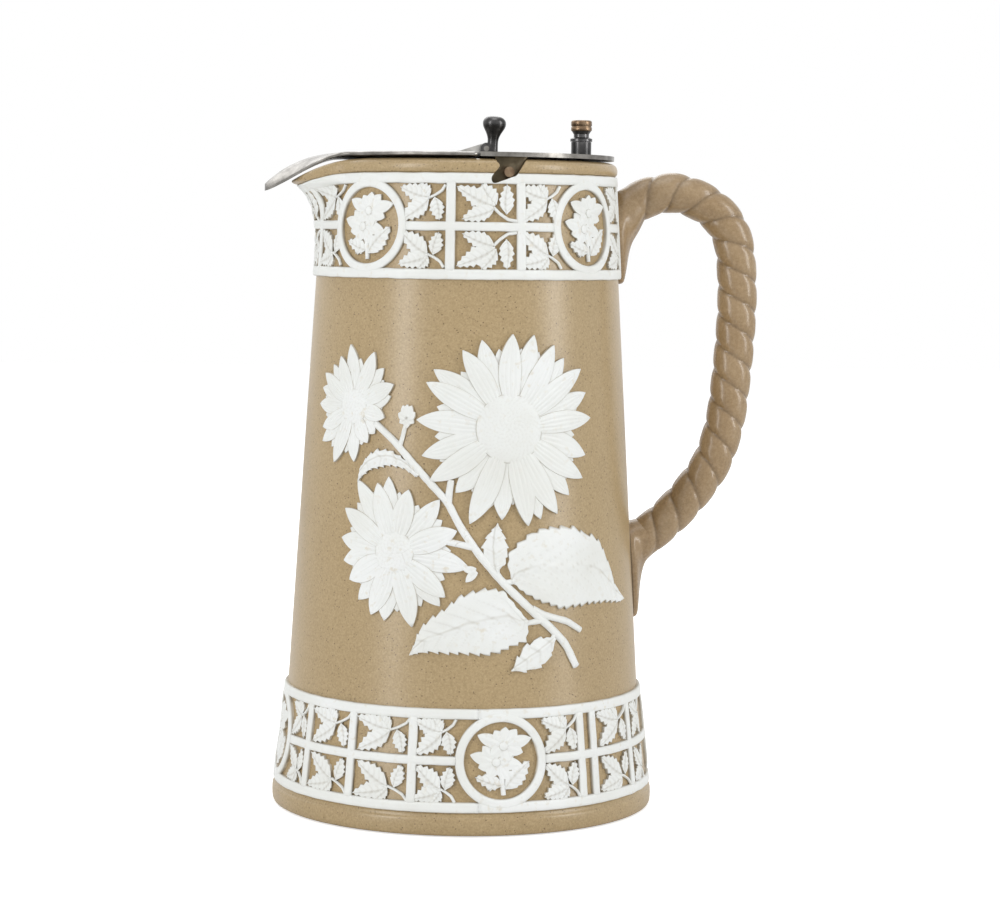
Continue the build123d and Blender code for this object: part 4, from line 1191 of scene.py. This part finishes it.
knob = build("thumb_knob", points, lathe_faces(len(KNOB_PROFILE), 40), [dark_pewter])
knob.modifiers.new("soft", "SUBSURF").levels = 1
knob.modifiers["soft"].render_levels = 1
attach(knob, "lid")
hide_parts("thumb_knob")

# The hinge, lugs and catch
# The small metal pieces keep the shapes of the model, with softened edges and their own metals.
# The catch has a grey collar, flange and neck under a coppery cap.
METALS = {"rear_plate": pewter, "flap_tang": highlight_pewter, "hinge_knuckles": dark_pewter, "hinge_pin": pewter,
          "rim_studs": brass, "catch_collar": dark_pewter, "catch_neck": dark_pewter,
          "catch_spindle": dark_pewter, "catch_toe": dark_pewter, "spindle_nut": dark_pewter}
for name, material in METALS.items():
    piece = nodes[name]
    piece.data.materials.clear()
    piece.data.materials.append(material)
    soft = piece.modifiers.new("soft", "BEVEL")
    soft.width = 0.00025
    soft.segments = 2
    soft.limit_method = "ANGLE"
    soft.angle_limit = radians(40)
LUG_OUTER = 46.5
LUG_INNER = 44.2
points = []
faces = []
count = len(SLOT)
middle_x = sum(x for x, z in SLOT) / count
middle_z = sum(z for x, z in SLOT) / count
lug = [(middle_x + (x - middle_x) * 0.95, min(middle_z + (z - middle_z) * 0.96, COVER_LOW + 0.2))
       for x, z in SLOT]
for flank in (-1, 1):
    start = len(points)
    for radius in (LUG_OUTER, LUG_INNER):
        points += [(x, flank * sqrt(radius**2 - x**2), z) for x, z in lug]
    faces.append(tuple(range(start, start + count)))
    faces.append(tuple(range(start + 2 * count - 1, start + count - 1, -1)))
    for k in range(count):
        n = (k + 1) % count
        faces.append((start + k, start + k + count, start + n + count, start + n))
lugs = build("rim_lugs", points, faces, [slot_shade_pewter])
face_outwards(lugs)
lugs.data.polygons.foreach_set("use_smooth", [False] * len(lugs.data.polygons))
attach(lugs, "root")
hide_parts("rim_ears")
CAP_X = 36.9
CAP = [(0.0, 220.45), (2.9, 220.45), (3.3, 220.6), (3.42, 220.9), (3.42, 221.7), (3.2, 221.9),
       (3.2, 222.1), (3.42, 222.3), (3.42, 223.5), (3.2, 223.9), (2.7, 224.05), (0.0, 224.05)]
points = []
for radius, z in CAP:
    radius = max(radius, 0.01)
    points += [(CAP_X + radius * cos(2 * pi * k / 48), radius * sin(2 * pi * k / 48), z) for k in range(48)]
cap = build("brass_knob", points, lathe_faces(len(CAP), 48), [brass])
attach(cap, "catch")
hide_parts("brass_knob")

# The stage
# A white floor that keeps a soft shadow, white surroundings, and large soft lamps at a plain level.

# Matt white paper that glows a little for the camera only.
floor_material, tree, shader, coords = new_material("white_floor")
shader.inputs["Base Color"].default_value = (0.9, 0.9, 0.9, 1)
shader.inputs["Roughness"].default_value = 1.0
shader.inputs["Specular IOR Level"].default_value = 0.0
path = add(tree, "ShaderNodeLightPath")
glow = add(tree, "ShaderNodeEmission", {"Color": (1, 1, 1, 1), "Strength": 0.62})
both = add(tree, "ShaderNodeAddShader", links={0: shader.outputs[0], 1: glow.outputs[0]})
seen = add(tree, "ShaderNodeMixShader",
           links={0: path.outputs["Is Camera Ray"], 1: shader.outputs[0], 2: both.outputs[0]})
tree.links.new(seen.outputs[0], tree.nodes["Material Output"].inputs["Surface"])
REACH = 3000
BELOW = -0.4
corners = [(-REACH, -REACH, BELOW), (REACH, -REACH, BELOW), (REACH, REACH, BELOW), (-REACH, REACH, BELOW)]
floor = build("floor", corners, [(0, 1, 2, 3)], [floor_material])

world = bpy.data.worlds.new("studio")
bpy.context.scene.world = world
world.use_nodes = True
tree = world.node_tree
path = add(tree, "ShaderNodeLightPath")
back = tree.nodes["Background"]
back.inputs["Color"].default_value = (1, 1, 1, 1)
back.inputs["Strength"].default_value = 0.5
white = add(tree, "ShaderNodeBackground", {"Color": (1, 1, 1, 1), "Strength": 1.0})
seen = add(tree, "ShaderNodeMath", {"operation": "MAXIMUM"},
           {0: path.outputs["Is Camera Ray"], 1: path.outputs["Is Glossy Ray"]})
choose = add(tree, "ShaderNodeMixShader", links={0: seen.outputs[0], 1: back.outputs[0], 2: white.outputs[0]})
tree.links.new(choose.outputs[0], tree.nodes["World Output"].inputs["Surface"])


def lamp(name, where, target, size, power):
    """A large soft lamp that faces a point."""
    light = bpy.data.lights.new(name, "AREA")
    light.shape = "RECTANGLE"
    light.size, light.size_y = size
    light.energy = power
    made = bpy.data.objects.new(name, light)
    made.location = where
    made.visible_camera = False
    made.rotation_euler = (Vector(target) - Vector(where)).to_track_quat("-Z", "Y").to_euler()
    bpy.context.scene.collection.objects.link(made)


lamp("left_softbox", (-1.05, -0.85, 0.5), (0, 0, 0.12), (0.3, 1.1), 8.0)
lamp("right_softbox", (1.2, -0.62, 0.5), (0, 0, 0.12), (0.3, 1.1), 8.0)
lamp("over", (0.0, -0.2, 1.4), (0, 0, 0.1), (0.8, 0.8), 3.0)
lamp("behind", (-0.35, 1.2, 1.1), (0, 0, 0.2), (1.6, 0.9), 7.0)

# The camera
# It stands where the photograph was taken from, just above the middle of the pot, with a long lens.
camera = bpy.data.objects.new("camera", bpy.data.cameras.new("camera"))
bpy.context.scene.collection.objects.link(camera)
camera.data.sensor_width = 36.0
camera.data.lens = 101.25
stand = Vector((-0.08044, -0.91949, 0.187))
azimuth, pitch, yaw, roll = (radians(a) for a in (-5.0, 4.545, 0.71, 0.75))
ahead = Vector((-sin(azimuth), cos(azimuth), 0))
right = Vector((cos(azimuth), sin(azimuth), 0))
look = (ahead * cos(yaw) + right * sin(yaw)) * cos(pitch) - Vector((0, 0, sin(pitch)))
right = right * cos(yaw) - ahead * sin(yaw)
up = right.cross(look)
turned_right = right * cos(roll) + up * sin(roll)
turned_up = up * cos(roll) - right * sin(roll)
camera.matrix_world = Matrix((
    (turned_right.x, turned_up.x, -look.x, stand.x),
    (turned_right.y, turned_up.y, -look.y, stand.y),
    (turned_right.z, turned_up.z, -look.z, stand.z),
    (0, 0, 0, 1)))
bpy.context.scene.camera = camera
bpy.context.scene.view_settings.view_transform = "Standard"
